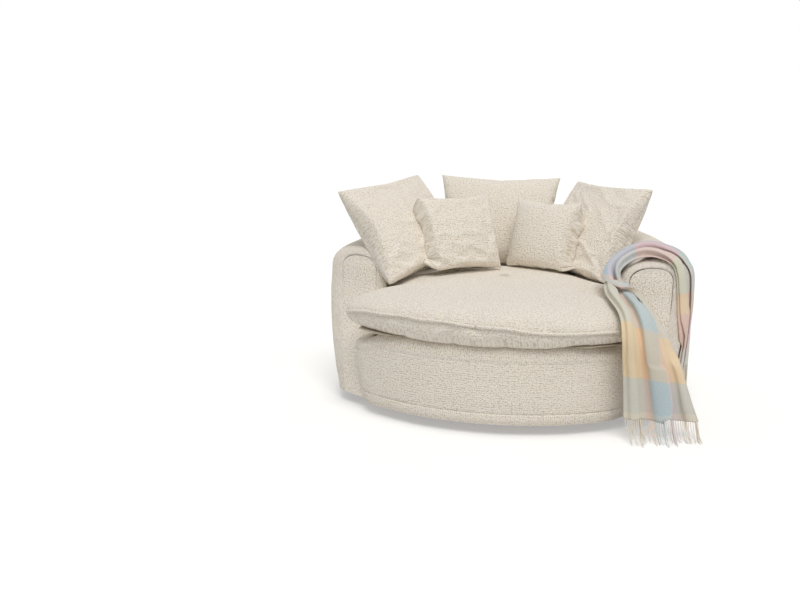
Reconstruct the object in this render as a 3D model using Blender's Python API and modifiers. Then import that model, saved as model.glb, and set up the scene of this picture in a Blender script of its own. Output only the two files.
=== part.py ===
"""A wide round lounge chair: a C-shaped arm and back on a bow-fronted sprung base,
with a crowned seat cushion, five scatter cushions and a throw over one arm.

Metres, +Z up, the chair faces -Y. The origin is on the floor, on the plane of symmetry, at the
centre of the round back, where the middle foot stands.
"""
import math

import bmesh
import bpy
from mathutils import Matrix, Vector
from mathutils.bvhtree import BVHTree

# Plan of the chair
BACK_RADIUS = 0.716       # outside of the round back, from the origin
WALL = 0.216              # thickness of the arm and back
INNER_RADIUS = BACK_RADIUS - WALL
FRONT_REACH = BACK_RADIUS - 0.163       # forward from the origin to the nose of the bowed front
FRONT_HALF = INNER_RADIUS + 0.045       # half the width of the bowed front
ARM_INNER_X = INNER_RADIUS - 0.043      # inner face of an arm at its front, from the middle
ARM_INNER_Y = 0.163       # how far forward an arm runs before its front rounds off
ARM_SKEW = 6.2            # degrees round the side that the arm's outer front corner lies forward
ARM_DRAW = 0.045          # how far the arm's outside draws in round its front corner
RAKE = 10.0               # degrees that the arm front leans back

# Heights
FOOT_HEIGHT = 0.0457
SKIRT_HEIGHT = 0.042      # lower edge of the covers
ARM_HEIGHT = 0.595
BACK_HEIGHT = 0.68
DECK_HEIGHT = 0.335       # what the seat cushion lies on
RAIL_TOP = DECK_HEIGHT - 0.045          # top of the rails that carry the springs
RAKE_LEVEL = 0.32         # height at which the raked arm front has its plan position

# Section of the arm and back
ARCH_RISE = 0.085         # height of the rounded top
ARCH_POWER = 2.3          # 2 is an ellipse, more is squarer
BELLY_LEVEL = ARM_HEIGHT - 0.175        # where the outside is widest
BELLY_TUCK = 0.041        # how far the outside draws in at the floor
BELLY_POWER = 1.5         # above 1 the outside curves in more towards the floor
ARM_ROUND = 0.030         # rounding of the arm front's edge

# Board, foam, cloth and clearances
CLEAR = 0.0003            # between pieces that touch
SLIP = 0.0005             # between long nested pieces
CLOTH = 0.0020
FOAM = 0.035
BOARD = 0.018
POST_ACROSS = 0.036       # size of a wall post across the wall
POST_ALONG = 0.060        # and along it
POST_ANGLES = (5.0, 35.0, 65.0, 90.0, 115.0, 145.0, 175.0)
CAP_RAIL_HALF = 0.040     # half the width of the rail on top of the posts

# Base
APRON_FOAM = 0.040
FRONT_BOARD = 0.0227      # thickness of the bowed front rail
FRONT_RAIL_END = 0.250    # how far forward of the origin the front rail's ends stop
SEAT_RAIL_END = 0.265
APRON_LIP = 0.060         # how far the front cover runs back over the rail
APRON_SHOULDER = 0.064    # from the deck down to the front's upper seam
APRON_BAND = 0.041        # from the covers' lower edge up to the front's lower seam
APRON_HEM = 0.006         # how far the front draws in at its lower edge
APRON_HEM_RISE = 0.018    # height over which it does
APRON_DROP = 0.060        # how far the apron's top falls at its two ends
APRON_DROP_SPAN = 0.165   # length of the falling part at each end
APRON_DROP_DEPTH = 0.155  # how far below the deck nothing falls any more
APRON_CORNER = 0.060      # where the front starts to turn into its ends
APRON_END_GAP = 0.013     # how far short of the arm's inner corner the front's cover stops
BOARD_NOTCH = 0.004       # how far inside the arm the bottom board's notch stays
SPRING_CLEAR = 0.0012     # between the springs' ends and the foam over them
DECK_CLOTH = 0.0018
DECK_SIDE_GAP = 0.0020    # between the deck and the leaning inner faces of the arms
SPRING_COUNT = 6
SPRING_MARGIN = 0.18      # from an outer spring to the inner radius
SPRING_WIRE = 0.0038
SPRING_SWING = 0.024      # half the width of the wire's zigzag
SPRING_PITCH = 0.11
SPRING_BOW = 0.006
HOLE_OFFSET = 0.205       # the bottom board's two openings, from the middle
HOLE_RADIUS = 0.150
DUST_RADIUS = 0.36
FOOT_TOP_RADIUS = 0.030
FOOT_SOLE_RADIUS = 0.024
FOOT_RING = INNER_RADIUS - 0.050        # distance of the outer feet from the middle foot
FOOT_ANGLES = (25.0, 90.0, 155.0, 222.0, 318.0)

# Seat cushion
SEAT_OVERHANG = 0.030     # how far the cushion reaches past the bowed front
SEAT_TIP_X = FRONT_HALF + 0.005         # the cushion's front corner, from the middle
SEAT_TIP_Y = ARM_INNER_Y + 0.197        # and forward
SEAT_NOTCH = 0.085        # how far behind its corner the cushion has drawn in to the arm
SEAT_SLACK = 0.012        # how full the cushion's side is between its corner and the arm
SEAT_RIM = DECK_HEIGHT + 0.070          # height of the piped seam
SEAT_CROWN = DECK_HEIGHT + 0.157
SEAT_SEAM_ROW = 5         # which of the cushion's rings is the piped seam
# Rise of the piped seam over its level at places along the front, as shares of the half width
SEAT_SEAM = ((-1.0, -0.019), (-0.93, -0.003), (-0.79, 0.012), (-0.54, 0.017), (-0.18, 0.016),
             (0.0, 0.006), (0.18, 0.006), (0.31, -0.005), (0.44, -0.013), (0.79, -0.015),
             (0.93, -0.020), (1.0, -0.020))
SEAT_SEAM_FROM = 0.20     # how far forward the seam starts to rise and fall
SEAT_SEAM_RUN = 0.15      # and over what length it does so fully
PIPING = 0.0062
SEAT_SIDE_GAP = 0.0120    # between the piping and the arms
SEAT_DIP = 0.035
SEAT_DIP_RUN = 0.20       # length over which the dip deepens
CROWN_FLAT, CROWN_FULL = 2.6, 0.62      # powers of the profile from the crown to the seam
UNDER_FLAT, UNDER_FULL = 18, 0.5        # and from the seam to the underside
SEAT_RINGS = (0.25, 0.5, 0.72, 0.87, 0.955)

# Scatter cushions: name, width, height, thickness, middle, facing, lean and roll in degrees.
# The middle is in shares of the inner radius, and in metres above the seat's crown
CUSHIONS = (
    ("back_cushion_centre", 0.52, 0.42, 0.130, (-0.210, 0.824, 0.181), 7.8, 25.5, 0.9),
    ("back_cushion_left", 0.44, 0.44, 0.120, (-0.846, 0.062, 0.196), 53.6, 37.9, -6.6),
    ("back_cushion_right", 0.44, 0.44, 0.125, (0.606, 0.520, 0.156), -42.3, 32.5, -1.1),
    ("small_cushion_left", 0.315, 0.315, 0.100, (-0.410, 0.105, 0.160), 37.4, 21.1, -0.8),
    ("small_cushion_right", 0.300, 0.300, 0.100, (0.210, 0.300, 0.145), -24.1, 17.7, -0.4),
)
SETTLE_REACH = 0.04       # how far a cushion may slide to what carries it
CUSHION_CELLS = 8
CUSHION_FLAT = 2.2        # power of the crown's profile across the cushion
CUSHION_FULL = 0.55       # power that makes the sides full
CORNER_PULL = 0.09        # how far a side draws in between its corners, as a share of half a side
COVER_CLOTH = 0.0015
FILL_GAP = 0.0015         # between a cover's cloth and its filling
ZIP_CELLS = 2             # cells that the zip runs to each side of the middle
ZIP_MARGIN = 0.08         # gap beside the zip, as a share of its width

# Throw: pairs of edge points, from the hem outside the arm, over the arm and the seat's corner,
# to the hem in front; first the edge nearer the back, then the edge nearer the front. X is from
# the outside of the arm, and the height is a share of the arm's height
THROW_ROUTE = (
    ((0.022, 0.110, 0.286), (0.012, -0.085, 0.286)),
    ((0.022, 0.110, 0.538), (0.012, -0.085, 0.538)),
    ((0.012, 0.105, 0.840), (0.006, -0.095, 0.815)),
    ((-0.032, 0.100, 0.978), (-0.036, -0.120, 0.961)),
    ((-0.110, 0.095, 1.015), (-0.114, -0.140, 1.005)),
    ((-0.202, 0.072, 0.971), (-0.202, -0.160, 0.955)),
    ((-0.254, -0.020, 0.916), (-0.238, -0.190, 0.899)),
    ((-0.311, -0.130, 0.840), (-0.181, -0.245, 0.815)),
    ((-0.271, -0.310, 0.810), (-0.116, -0.285, 0.714)),
    ((-0.221, -0.430, 0.756), (-0.066, -0.310, 0.605)),
    ((-0.204, -0.490, 0.655), (-0.044, -0.340, 0.487)),
    ((-0.201, -0.480, 0.454), (-0.026, -0.375, 0.370)),
    ((-0.198, -0.470, 0.269), (0.014, -0.380, 0.218)),
    ((-0.194, -0.470, 0.126), (0.049, -0.365, 0.092)),
)
THROW_CLOTH = 0.006
THROW_LIFT = 0.011
THROW_COLUMNS = 14
THROW_STEPS = 2
THROW_HANGS_FROM = 8      # the pair of edge points where the throw leaves the seat
THROW_FOLD = 0.014        # height of the folds in the hanging part
THROW_LAID_FOLD = 0.0035  # and where it lies on the arm
THROW_FOLDS = 2.5         # folds across the width
THROW_TURN = 0.6          # how far the folds wander from one pair of edge points to the next
FRINGE_LENGTH = 0.10
FRINGE_FALL = (0.1, -0.3, -0.95)        # the way the front fringe leaves the hem
FRINGE_LIE = (0.3, -0.9, -0.3)          # and the way it runs out over the floor
FLOOR_GAP = 0.0012

COLLECTION = "Lounge_armchair"
CUTTERS = "Cutters"
BACK_STEP = 15            # degrees between the wall's stations round the back
FRONT_SHARES = (0.0, 0.206, 0.412, 0.619, 0.804, 0.928)    # steps out along the bowed front
SEAT_SHARES = (0.0, 0.236, 0.473, 0.691, 0.873)            # and along the seat cushion's nose
BELLY_SHARES = (1.0, 0.71, 0.445, 0.206)                   # and down the outside of the wall
ARCH_STEPS = 8
APRON_SEAM_LOW = SKIRT_HEIGHT + APRON_BAND
APRON_SEAM_HIGH = DECK_HEIGHT - APRON_SHOULDER
APRON_DROP_FROM = FRONT_HALF - APRON_DROP_SPAN
APRON_DROP_LEVEL = DECK_HEIGHT - APRON_DROP_DEPTH
APRON_ARCH = ((0.067, 0.42), (0.233, 0.75), (0.533, 0.94))  # shares of the lip and the shoulder
SIDE_DEPTH = FRONT_REACH + BELLY_TUCK   # half depth of the ellipse that the sides follow
BOARD_BOTTOM = FOOT_HEIGHT + CLEAR
BOARD_TOP = BOARD_BOTTOM + BOARD
RISE_FROM = BOARD_TOP + SLIP            # foot of what stands on the bottom board
SKIN = CLOTH + SLIP                     # depth of the foam's outside below the cover's
CORE = SKIN + FOAM                      # depth of the foam's inside


def clear_scene():
    for old in list(bpy.data.objects):
        bpy.data.objects.remove(old, do_unlink=True)


def new_collection(name):
    found = bpy.data.collections.get(name) or bpy.data.collections.new(name)
    if found.name not in bpy.context.scene.collection.children:
        bpy.context.scene.collection.children.link(found)
    return found


def material(name, colour, roughness, metallic=0.0):
    made = bpy.data.materials.new(name)
    made.use_nodes = True
    shader = made.node_tree.nodes["Principled BSDF"]
    shader.inputs["Base Color"].default_value = (*colour, 1.0)
    shader.inputs["Roughness"].default_value = roughness
    shader.inputs["Metallic"].default_value = metallic
    made.diffuse_color = (*colour, 1.0)
    return made


def lerp(a, b, share):
    return a + (b - a) * share


def smooth(share):
    share = min(1.0, max(0.0, share))
    return share * share * (3.0 - 2.0 * share)


def signed_power(value, power):
    return math.copysign(abs(value) ** power, value)


def outward(mesh):
    """Turn every face of a closed mesh outward."""
    work = bmesh.new()
    work.from_mesh(mesh)
    bmesh.ops.recalc_face_normals(work, faces=work.faces)
    work.to_mesh(mesh)
    work.free()


def add_mesh(name, points, faces, finish, into=None, round_edges=35.0):
    mesh = bpy.data.meshes.new(name)
    mesh.from_pydata([tuple(p) for p in points], [], faces)
    outward(mesh)
    mesh.shade_smooth()
    mesh.set_sharp_from_angle(angle=math.radians(round_edges))
    mesh.materials.append(finish)
    made = bpy.data.objects.new(name, mesh)
    (into or PARTS).objects.link(made)
    return made


def grid_faces(rows, columns, start=0, closed=False):
    """Quads of a grid of points; closed joins the last column to the first."""
    faces = []
    for i in range(rows - 1):
        for j in range(columns if closed else columns - 1):
            k = (j + 1) % columns
            faces.append((start + i * columns + j, start + i * columns + k,
                          start + (i + 1) * columns + k, start + (i + 1) * columns + j))
    return faces


def solid_loft(name, rings, finish, into=None):
    """A closed solid through closed outlines of equal counts, capped at both ends."""
    count = len(rings[0])
    points = [p for ring in rings for p in ring]
    faces = grid_faces(len(rings), count, closed=True)
    faces.append(tuple(range(count)))
    faces.append(tuple(range((len(rings) - 1) * count, len(rings) * count)))
    return add_mesh(name, points, faces, finish, into)


def thick_sheet(name, outer, inner, finish, into=None):
    """A closed solid between two grids of equal counts, joined round their rims."""
    rows, columns = len(outer), len(outer[0])
    points = [p for row in outer for p in row] + [p for row in inner for p in row]
    shift = rows * columns
    faces = grid_faces(rows, columns) + grid_faces(rows, columns, shift)
    rim = [(0, j) for j in range(columns)]
    rim += [(i, columns - 1) for i in range(1, rows)]
    rim += [(rows - 1, j) for j in range(columns - 2, -1, -1)]
    rim += [(i, 0) for i in range(rows - 2, 0, -1)]
    for (i, j), (k, m) in zip(rim, rim[1:] + rim[:1]):
        a, b = i * columns + j, k * columns + m
        faces.append((a, b, b + shift, a + shift))
    return add_mesh(name, points, faces, finish, into)


def plate(name, outline, low, high, finish, holes=()):
    """A flat board or cloth: closed outlines in plan, filled and extruded."""
    curve = bpy.data.curves.new(name, "CURVE")
    curve.dimensions = "2D"
    curve.fill_mode = "BOTH"
    curve.extrude = (high - low) / 2
    for loop in (outline, *holes):
        spline = curve.splines.new("POLY")
        spline.points.add(len(loop) - 1)
        for point, (x, y) in zip(spline.points, loop):
            point.co = (x, y, 0.0, 1.0)
        spline.use_cyclic_u = True
    curve.materials.append(finish)
    made = bpy.data.objects.new(name, curve)
    made.location.z = (low + high) / 2
    PARTS.objects.link(made)
    return made


def rod(name, route, radius, finish, resolution=1, closed=False):
    curve = bpy.data.curves.new(name, "CURVE")
    curve.dimensions = "3D"
    curve.bevel_depth = radius
    curve.bevel_resolution = resolution
    curve.use_fill_caps = not closed
    spline = curve.splines.new("POLY")
    spline.points.add(len(route) - 1)
    for point, place in zip(spline.points, route):
        point.co = (*place, 1.0)
    spline.use_cyclic_u = closed
    curve.materials.append(finish)
    made = bpy.data.objects.new(name, curve)
    PARTS.objects.link(made)
    return made


def circle(centre, radius, sides=16):
    turns = [2 * math.pi * k / sides for k in range(sides)]
    return [(centre[0] + radius * math.cos(a), centre[1] + radius * math.sin(a)) for a in turns]


def offset_path(path, distance):
    """An open run of plan points moved to its left by a distance, with mitred corners."""
    moved = []
    for k, here in enumerate(path):
        before = (here - path[k - 1]).normalized() if k else None
        after = (path[k + 1] - here).normalized() if k + 1 < len(path) else None
        before, after = before or after, after or before
        left = Vector((-before.y - after.y, before.x + after.x)).normalized()
        half_turn = left.dot(Vector((-before.y, before.x)))
        moved.append(here + left * distance / half_turn)
    return moved


# The arm and back

class Station:
    """One upright section through the wall: its plan ends, its height, how raked, how inset."""

    def __init__(self, inner, outer, height, rake=0.0, inset=0.0):
        self.inner, self.outer, self.height = inner, outer, height
        self.rake, self.inset = rake, inset

    def mirrored(self):
        flip = Vector((-1.0, 1.0))
        return Station(self.inner * flip, self.outer * flip, self.height, self.rake, self.inset)


def wall_height(angle):
    return lerp(ARM_HEIGHT, BACK_HEIGHT, math.sin(max(angle, 0.0)) ** 2)


def side_point(angle):
    """The wall's outer line: a circle round the back, an ellipse where it turns forward."""
    depth = BACK_RADIUS if angle >= 0 else SIDE_DEPTH
    return Vector((BACK_RADIUS * math.cos(angle), depth * math.sin(angle)))


def inner_point(angle):
    return Vector((math.cos(angle), math.sin(angle))) * INNER_RADIUS


def arm_front():
    """Inner and outer plan corners of the right arm before its rounding, and the way it faces."""
    inner = Vector((ARM_INNER_X, -ARM_INNER_Y))
    outer = side_point(-math.radians(ARM_SKEW))
    across = (outer - inner).normalized()
    return inner, outer, across, Vector((across.y, -across.x))


def front_station(reach, inset, drawn):
    """A station in front of the arm's corners; drawn is how far its outside has drawn in."""
    inner, outer, across, forward = arm_front()
    outer = outer - across * drawn
    return Station(inner + forward * reach, outer + forward * reach, ARM_HEIGHT, 1.0, inset)


def rounding_station(depth, degrees):
    """A station on the rounding of the arm front, turned by an angle towards its face."""
    radius = ARM_ROUND - depth
    round_in = 1 - math.cos(math.radians(degrees))
    return front_station(radius * math.sin(math.radians(degrees)), depth + radius * round_in,
                         ARM_DRAW * round_in)


def right_stations(depth, rounded=True):
    """Stations of the surface at a depth below the cover, from the arm front to the back."""
    inner, outer = arm_front()[:2]
    stations = []
    if rounded:
        stations += [rounding_station(depth, turn) for turn in (90.0, 60.0, 30.0)]
    stations.append(Station(inner, outer, ARM_HEIGHT, 1.0, depth))
    middle = side_point(-math.radians(ARM_SKEW / 2))
    stations.append(Station(lerp(inner, inner_point(0.0), 0.5), middle, ARM_HEIGHT, 0.5, depth))
    for degrees in range(0, 91, BACK_STEP):
        angle = math.radians(degrees)
        stations.append(Station(inner_point(angle), side_point(angle), wall_height(angle),
                                0.0, depth))
    return stations


def all_stations(depth, rounded=True):
    right = right_stations(depth, rounded)
    return right + [station.mirrored() for station in reversed(right[:-1])]


def raked(plan, z, share):
    return Vector((plan.x, plan.y + share * math.tan(math.radians(RAKE)) * (z - RAKE_LEVEL), z))


def section(station, inner_foot, outer_foot):
    """Points of a section, from its inner foot, over the rounded top, to its outer foot."""
    across = (station.outer - station.inner).normalized()
    middle = (station.outer + station.inner) / 2
    half = (station.outer - station.inner).length / 2 - station.inset
    shoulder = station.height - ARCH_RISE
    rise = ARCH_RISE - station.inset
    run = [(-half, inner_foot), (-half, RAKE_LEVEL)]
    for k in range(ARCH_STEPS + 1):
        turn = math.pi * (1 - k / ARCH_STEPS)
        run.append((half * signed_power(math.cos(turn), 2 / ARCH_POWER),
                    shoulder + rise * math.sin(turn) ** (2 / ARCH_POWER)))
    levels = [lerp(SKIRT_HEIGHT, BELLY_LEVEL, share) for share in BELLY_SHARES]
    for z in (*levels, outer_foot):
        low = max(0.0, (BELLY_LEVEL - z) / (BELLY_LEVEL - SKIRT_HEIGHT))
        run.append((half - BELLY_TUCK * min(1.0, low) ** BELLY_POWER, z))
    return [raked(middle + across * along, z, station.rake) for along, z in run]


def wall_grid(depth, rounded=True):
    """Sections of one surface; the inner side stands on the board, which the fronts hang over."""
    grid = []
    for station in all_stations(depth, rounded):
        inner_foot = SKIRT_HEIGHT if station.inset > depth else RISE_FROM
        grid.append(section(station, inner_foot, SKIRT_HEIGHT))
    return grid


def front_ring(station):
    return section(station, SKIRT_HEIGHT, SKIRT_HEIGHT)


def arm_board_rings():
    """The plywood behind the arm's face, standing on the bottom board."""
    stations = right_stations(CORE + 3 * SLIP, False)[:2]
    ends = [section(station, RISE_FROM - SLIP + CLEAR, RISE_FROM - SLIP + CLEAR)
            for station in stations]
    length = (stations[1].inner - stations[0].inner).length
    return [[lerp(a, b, reach / length) for a, b in zip(*ends)] for reach in (BOARD, CLEAR)]


def make_wall():
    thick_sheet("arm_back_cover", wall_grid(0.0), wall_grid(CLOTH), BOUCLE)
    thick_sheet("arm_back_foam", wall_grid(SKIN, False), wall_grid(CORE, False), FOAM_FINISH)
    pad = [front_ring(front_station(CLEAR, SKIN, 0.0))]
    pad += [front_ring(rounding_station(SKIN, turn)) for turn in (30.0, 60.0, 90.0)]
    panel = [front_ring(front_station(reach, ARM_ROUND + CLEAR, ARM_DRAW))
             for reach in (ARM_ROUND - CLOTH, ARM_ROUND)]
    pieces = (("arm_front_pad", pad, FOAM_FINISH), ("arm_front_panel", panel, BOUCLE),
              ("arm_front_board", arm_board_rings(), PLYWOOD))
    for name, rings, finish in pieces:
        solid_loft(name + "_right", rings, finish)
        flipped = [[Vector((-p.x, p.y, p.z)) for p in ring] for ring in rings]
        solid_loft(name + "_left", flipped, finish)


def cavity_height(half_width):
    """Height above the shoulder at which the foam's hollow is still that wide each way."""
    half = WALL / 2 - CORE
    rise = ARCH_RISE - CORE
    turn = math.pi * (1 - (ARCH_STEPS // 2 - 1) / ARCH_STEPS)
    edge = abs(half * signed_power(math.cos(turn), 2 / ARCH_POWER))
    corner = rise * math.sin(turn) ** (2 / ARCH_POWER)
    turn = math.pi * (1 - (ARCH_STEPS // 2 - 2) / ARCH_STEPS)
    far_edge = abs(half * signed_power(math.cos(turn), 2 / ARCH_POWER))
    far_corner = rise * math.sin(turn) ** (2 / ARCH_POWER)
    if half_width <= edge:
        return lerp(rise, corner, half_width / edge)
    return lerp(corner, far_corner, (half_width - edge) / (far_edge - edge))


def cap_rail_top(degrees):
    """Top of the rail, straight between the wall's stations."""
    before = math.floor(degrees / BACK_STEP) * BACK_STEP
    share = (degrees - before) / BACK_STEP
    heights = [wall_height(math.radians(d)) for d in (before, before + BACK_STEP)]
    return lerp(*heights, share) - ARCH_RISE + cavity_height(CAP_RAIL_HALF) - SLIP


def make_wall_frame():
    rings = []
    for degrees in range(0, 181, BACK_STEP):
        angle = math.radians(degrees)
        middle = (side_point(angle) + inner_point(angle)) / 2
        across = (side_point(angle) - inner_point(angle)).normalized()
        top = cap_rail_top(degrees)
        corners = ((-CAP_RAIL_HALF, top - BOARD), (CAP_RAIL_HALF, top - BOARD),
                   (CAP_RAIL_HALF, top), (-CAP_RAIL_HALF, top))
        rings.append([(*(middle + across * along), z) for along, z in corners])
    solid_loft("cap_rail", rings, PLYWOOD)
    for k, degrees in enumerate(POST_ANGLES):
        angle = math.radians(degrees)
        reach = math.degrees(POST_ALONG / 2 / (BACK_RADIUS - WALL / 2 - POST_ACROSS / 2))
        top = min(cap_rail_top(degrees - reach), cap_rail_top(degrees + reach))
        top -= BOARD + CLEAR
        foot = BOARD_TOP + CLEAR
        middle = (side_point(angle) + inner_point(angle)) / 2
        corners = ((-0.5, -0.5), (0.5, -0.5), (0.5, 0.5), (-0.5, 0.5))
        rings = [[(POST_ACROSS * x, POST_ALONG * y, z) for x, y in corners]
                 for z in ((foot - top) / 2, (top - foot) / 2)]
        post = solid_loft("wall_post_%d" % (k + 1), rings, PINE)
        post.location = (middle.x, middle.y, (top + foot) / 2)
        post.rotation_euler.z = angle


# The base

def front_y(x):
    """The bowed front at the floor."""
    return -FRONT_REACH * math.sqrt(1 - (x / (BACK_RADIUS - BELLY_TUCK)) ** 2)


def front_path(end_y):
    """Plan points of the bowed front and its ends, from the left end to the right one."""
    corner = Vector((FRONT_HALF, front_y(FRONT_HALF)))
    start = Vector((FRONT_HALF - APRON_CORNER, front_y(FRONT_HALF - APRON_CORNER)))
    finish = corner + Vector((0.0, APRON_CORNER))
    right = [Vector((start.x * share, front_y(start.x * share))) for share in FRONT_SHARES]
    for share in (0.0, 0.25, 0.5, 0.75, 1.0):
        right.append(lerp(lerp(start, corner, share), lerp(corner, finish, share), share))
    right.append(Vector((FRONT_HALF, end_y)))
    left = [Vector((-p.x, p.y)) for p in reversed(right[1:])]
    return left + right


def apron_fall(x, z):
    """How far a point of the front drops because it is near an end."""
    share = smooth((abs(x) - APRON_DROP_FROM) / (FRONT_HALF - APRON_DROP_FROM))
    reach = max(0.0, (z - APRON_DROP_LEVEL) / (DECK_HEIGHT - APRON_DROP_LEVEL))
    return APRON_DROP * share * min(1.0, reach)


def apron_grid(profile, end_y):
    path = front_path(end_y)
    runs = [offset_path(path, inset) for inset, _ in profile]
    grid = []
    for k, place in enumerate(path):
        row = []
        for (_, z), run in zip(profile, runs):
            row.append(Vector((run[k].x, run[k].y, z - apron_fall(place.x, z))))
        grid.append(row)
    return grid


def apron_profile():
    """Inset and height of the front's outside, from its foot to its lip over the deck."""
    levels = (SKIRT_HEIGHT + APRON_HEM_RISE, APRON_SEAM_LOW, APRON_DROP_LEVEL, APRON_SEAM_HIGH)
    run = [(APRON_HEM, SKIRT_HEIGHT)] + [(0.0, z) for z in levels]
    run += [(APRON_LIP * back, APRON_SEAM_HIGH + APRON_SHOULDER * up) for back, up in APRON_ARCH]
    return run + [(APRON_LIP, DECK_HEIGHT)]


def apron_hollow():
    """Inset and height of the foam's inside, over the front rail; as many points as outside."""
    rail_clear = RAIL_TOP + SPRING_WIRE + SPRING_CLEAR
    levels = [z for _, z in apron_profile()[:4]]
    run = [(APRON_FOAM, z) for z in (*levels, lerp(APRON_DROP_LEVEL, rail_clear, 0.5), rail_clear)]
    return run + [(lerp(APRON_FOAM, APRON_LIP, share), rail_clear) for share in (0.4, 0.7, 1.0)]


def inset_profile(profile, depth):
    moved = offset_path([Vector(p) for p in profile], -depth)
    moved[0].y = profile[0][1]
    moved[-1].x = profile[-1][0]
    return [(p.x, p.y) for p in moved]


def cut(target, cutter):
    step = target.modifiers.new("cut", "BOOLEAN")
    step.operation = "DIFFERENCE"
    step.solver = "EXACT"
    step.object = cutter


def make_wall_cutter():
    rings = []
    for station in all_stations(-SLIP):
        rings.append(section(station, 0.0, 0.0))
    cutter = solid_loft("wall_cutter", rings, FOAM_FINISH, CUT_TOOLS)
    cutter.hide_render = True
    cutter.display_type = "WIRE"
    return cutter


def make_apron():
    end_y = APRON_END_GAP - ARM_INNER_Y
    outside = apron_profile()
    cover = thick_sheet("apron_cover", apron_grid(outside, end_y),
                        apron_grid(inset_profile(outside, CLOTH), end_y), BOUCLE)
    foam = thick_sheet("apron_foam", apron_grid(inset_profile(outside, SKIN), end_y),
                       apron_grid(apron_hollow(), end_y), FOAM_FINISH)
    cutter = make_wall_cutter()
    cut(cover, cutter)
    cut(foam, cutter)


def half_to_whole(right):
    """Mirror a run of plan points that starts on the front's middle and ends on the back's."""
    left = [(-x, y) for x, y in reversed(right[1:-1])]
    return right + left


def inner_run(gap):
    """Plan points just inside the wall's inner face, from the arm front to the back's middle."""
    stations = right_stations(0.0, False)
    run = offset_path([station.inner for station in stations], gap)
    run[-1].x = 0.0
    return run


def front_half(depth):
    """Right half of the bowed front, from its middle to the foot of its end, at a depth."""
    path = offset_path(front_path(-(ARM_INNER_Y + ARM_ROUND)), depth)
    return path[len(path) // 2:]


def make_bottom():
    inner, outer, across, forward = arm_front()
    depth = APRON_FOAM + SLIP
    run = [(p.x, p.y) for p in front_half(depth)[:-1]]
    run.append((run[-1][0], -FRONT_RAIL_END))
    behind = inner - forward * SLIP
    behind.y += math.tan(math.radians(RAKE)) * (BOARD_TOP - RAKE_LEVEL)
    notch_x = inner.x - BOARD_NOTCH
    run.append((notch_x, -FRONT_RAIL_END))
    run.append((notch_x, behind.y + across.y * (notch_x - behind.x) / across.x))
    reach = (outer - inner).length - CORE - SLIP - BELLY_TUCK
    run.append(tuple(behind + across * reach))
    for station in right_stations(0.0, False)[2:]:
        away = (station.outer - station.inner).normalized()
        run.append(tuple(station.outer - away * (CORE + SLIP + BELLY_TUCK)))
    run[-1] = (0.0, run[-1][1])
    holes = [circle((side * HOLE_OFFSET, 0.0), HOLE_RADIUS, 20) for side in (-1, 1)]
    plate("bottom_board", half_to_whole(run), BOARD_BOTTOM, BOARD_TOP, PLYWOOD, holes)
    cloth_top = BOARD_BOTTOM - CLEAR
    plate("dust_cloth", circle((0.0, 0.0), DUST_RADIUS, 28), cloth_top - DECK_CLOTH / 2, cloth_top,
          BLACK_CLOTH, [circle((0.0, 0.0), FOOT_TOP_RADIUS + SLIP * 2, 16)])
    spots = [(0.0, 0.0)]
    for degrees in FOOT_ANGLES:
        angle = math.radians(degrees)
        spots.append((FOOT_RING * math.cos(angle), FOOT_RING * math.sin(angle)))
    for k, (x, y) in enumerate(spots):
        mesh = bpy.data.meshes.new("foot")
        work = bmesh.new()
        bmesh.ops.create_cone(work, cap_ends=True, segments=16, radius1=FOOT_SOLE_RADIUS,
                              radius2=FOOT_TOP_RADIUS, depth=FOOT_HEIGHT)
        work.to_mesh(mesh)
        work.free()
        mesh.shade_smooth()
        mesh.set_sharp_from_angle(angle=math.radians(35.0))
        mesh.materials.append(BLACK_PLASTIC)
        foot = bpy.data.objects.new("foot_middle" if k == 0 else "foot_%d" % k, mesh)
        foot.location = (x, y, FOOT_HEIGHT / 2)
        PARTS.objects.link(foot)


def rail_rings(outer_run, inner_run_, low, tops):
    rings = []
    for a, b, top in zip(outer_run, inner_run_, tops):
        rings.append([(a.x, a.y, low), (b.x, b.y, low), (b.x, b.y, top), (a.x, a.y, top)])
    return rings


def make_rails():
    """The bowed front rail and the U-shaped rail inside the wall; both stand on the board."""
    low = BOARD_TOP + CLEAR
    path = front_path(-FRONT_RAIL_END)
    face = offset_path(path, APRON_FOAM + SLIP)
    back = offset_path(path, APRON_FOAM + SLIP + FRONT_BOARD)
    tops = [RAIL_TOP - apron_fall(p.x, RAIL_TOP) for p in path]
    solid_loft("front_rail", rail_rings(face, back, low, tops), PLYWOOD)

    runs = []
    for gap in (SLIP, SLIP + BOARD):
        run = inner_run(gap)
        right = [Vector((run[0].x, -SEAT_RAIL_END)), *run]
        runs.append(right + [Vector((-p.x, p.y)) for p in reversed(right[:-1])])
    tops = [tops[0]] * 2 + [RAIL_TOP] * (len(runs[0]) - 4) + [tops[0]] * 2
    solid_loft("seat_rail", rail_rings(*runs, low, tops), PLYWOOD)
    return [(a + b) / 2 for a, b in zip(face, back)]


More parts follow.
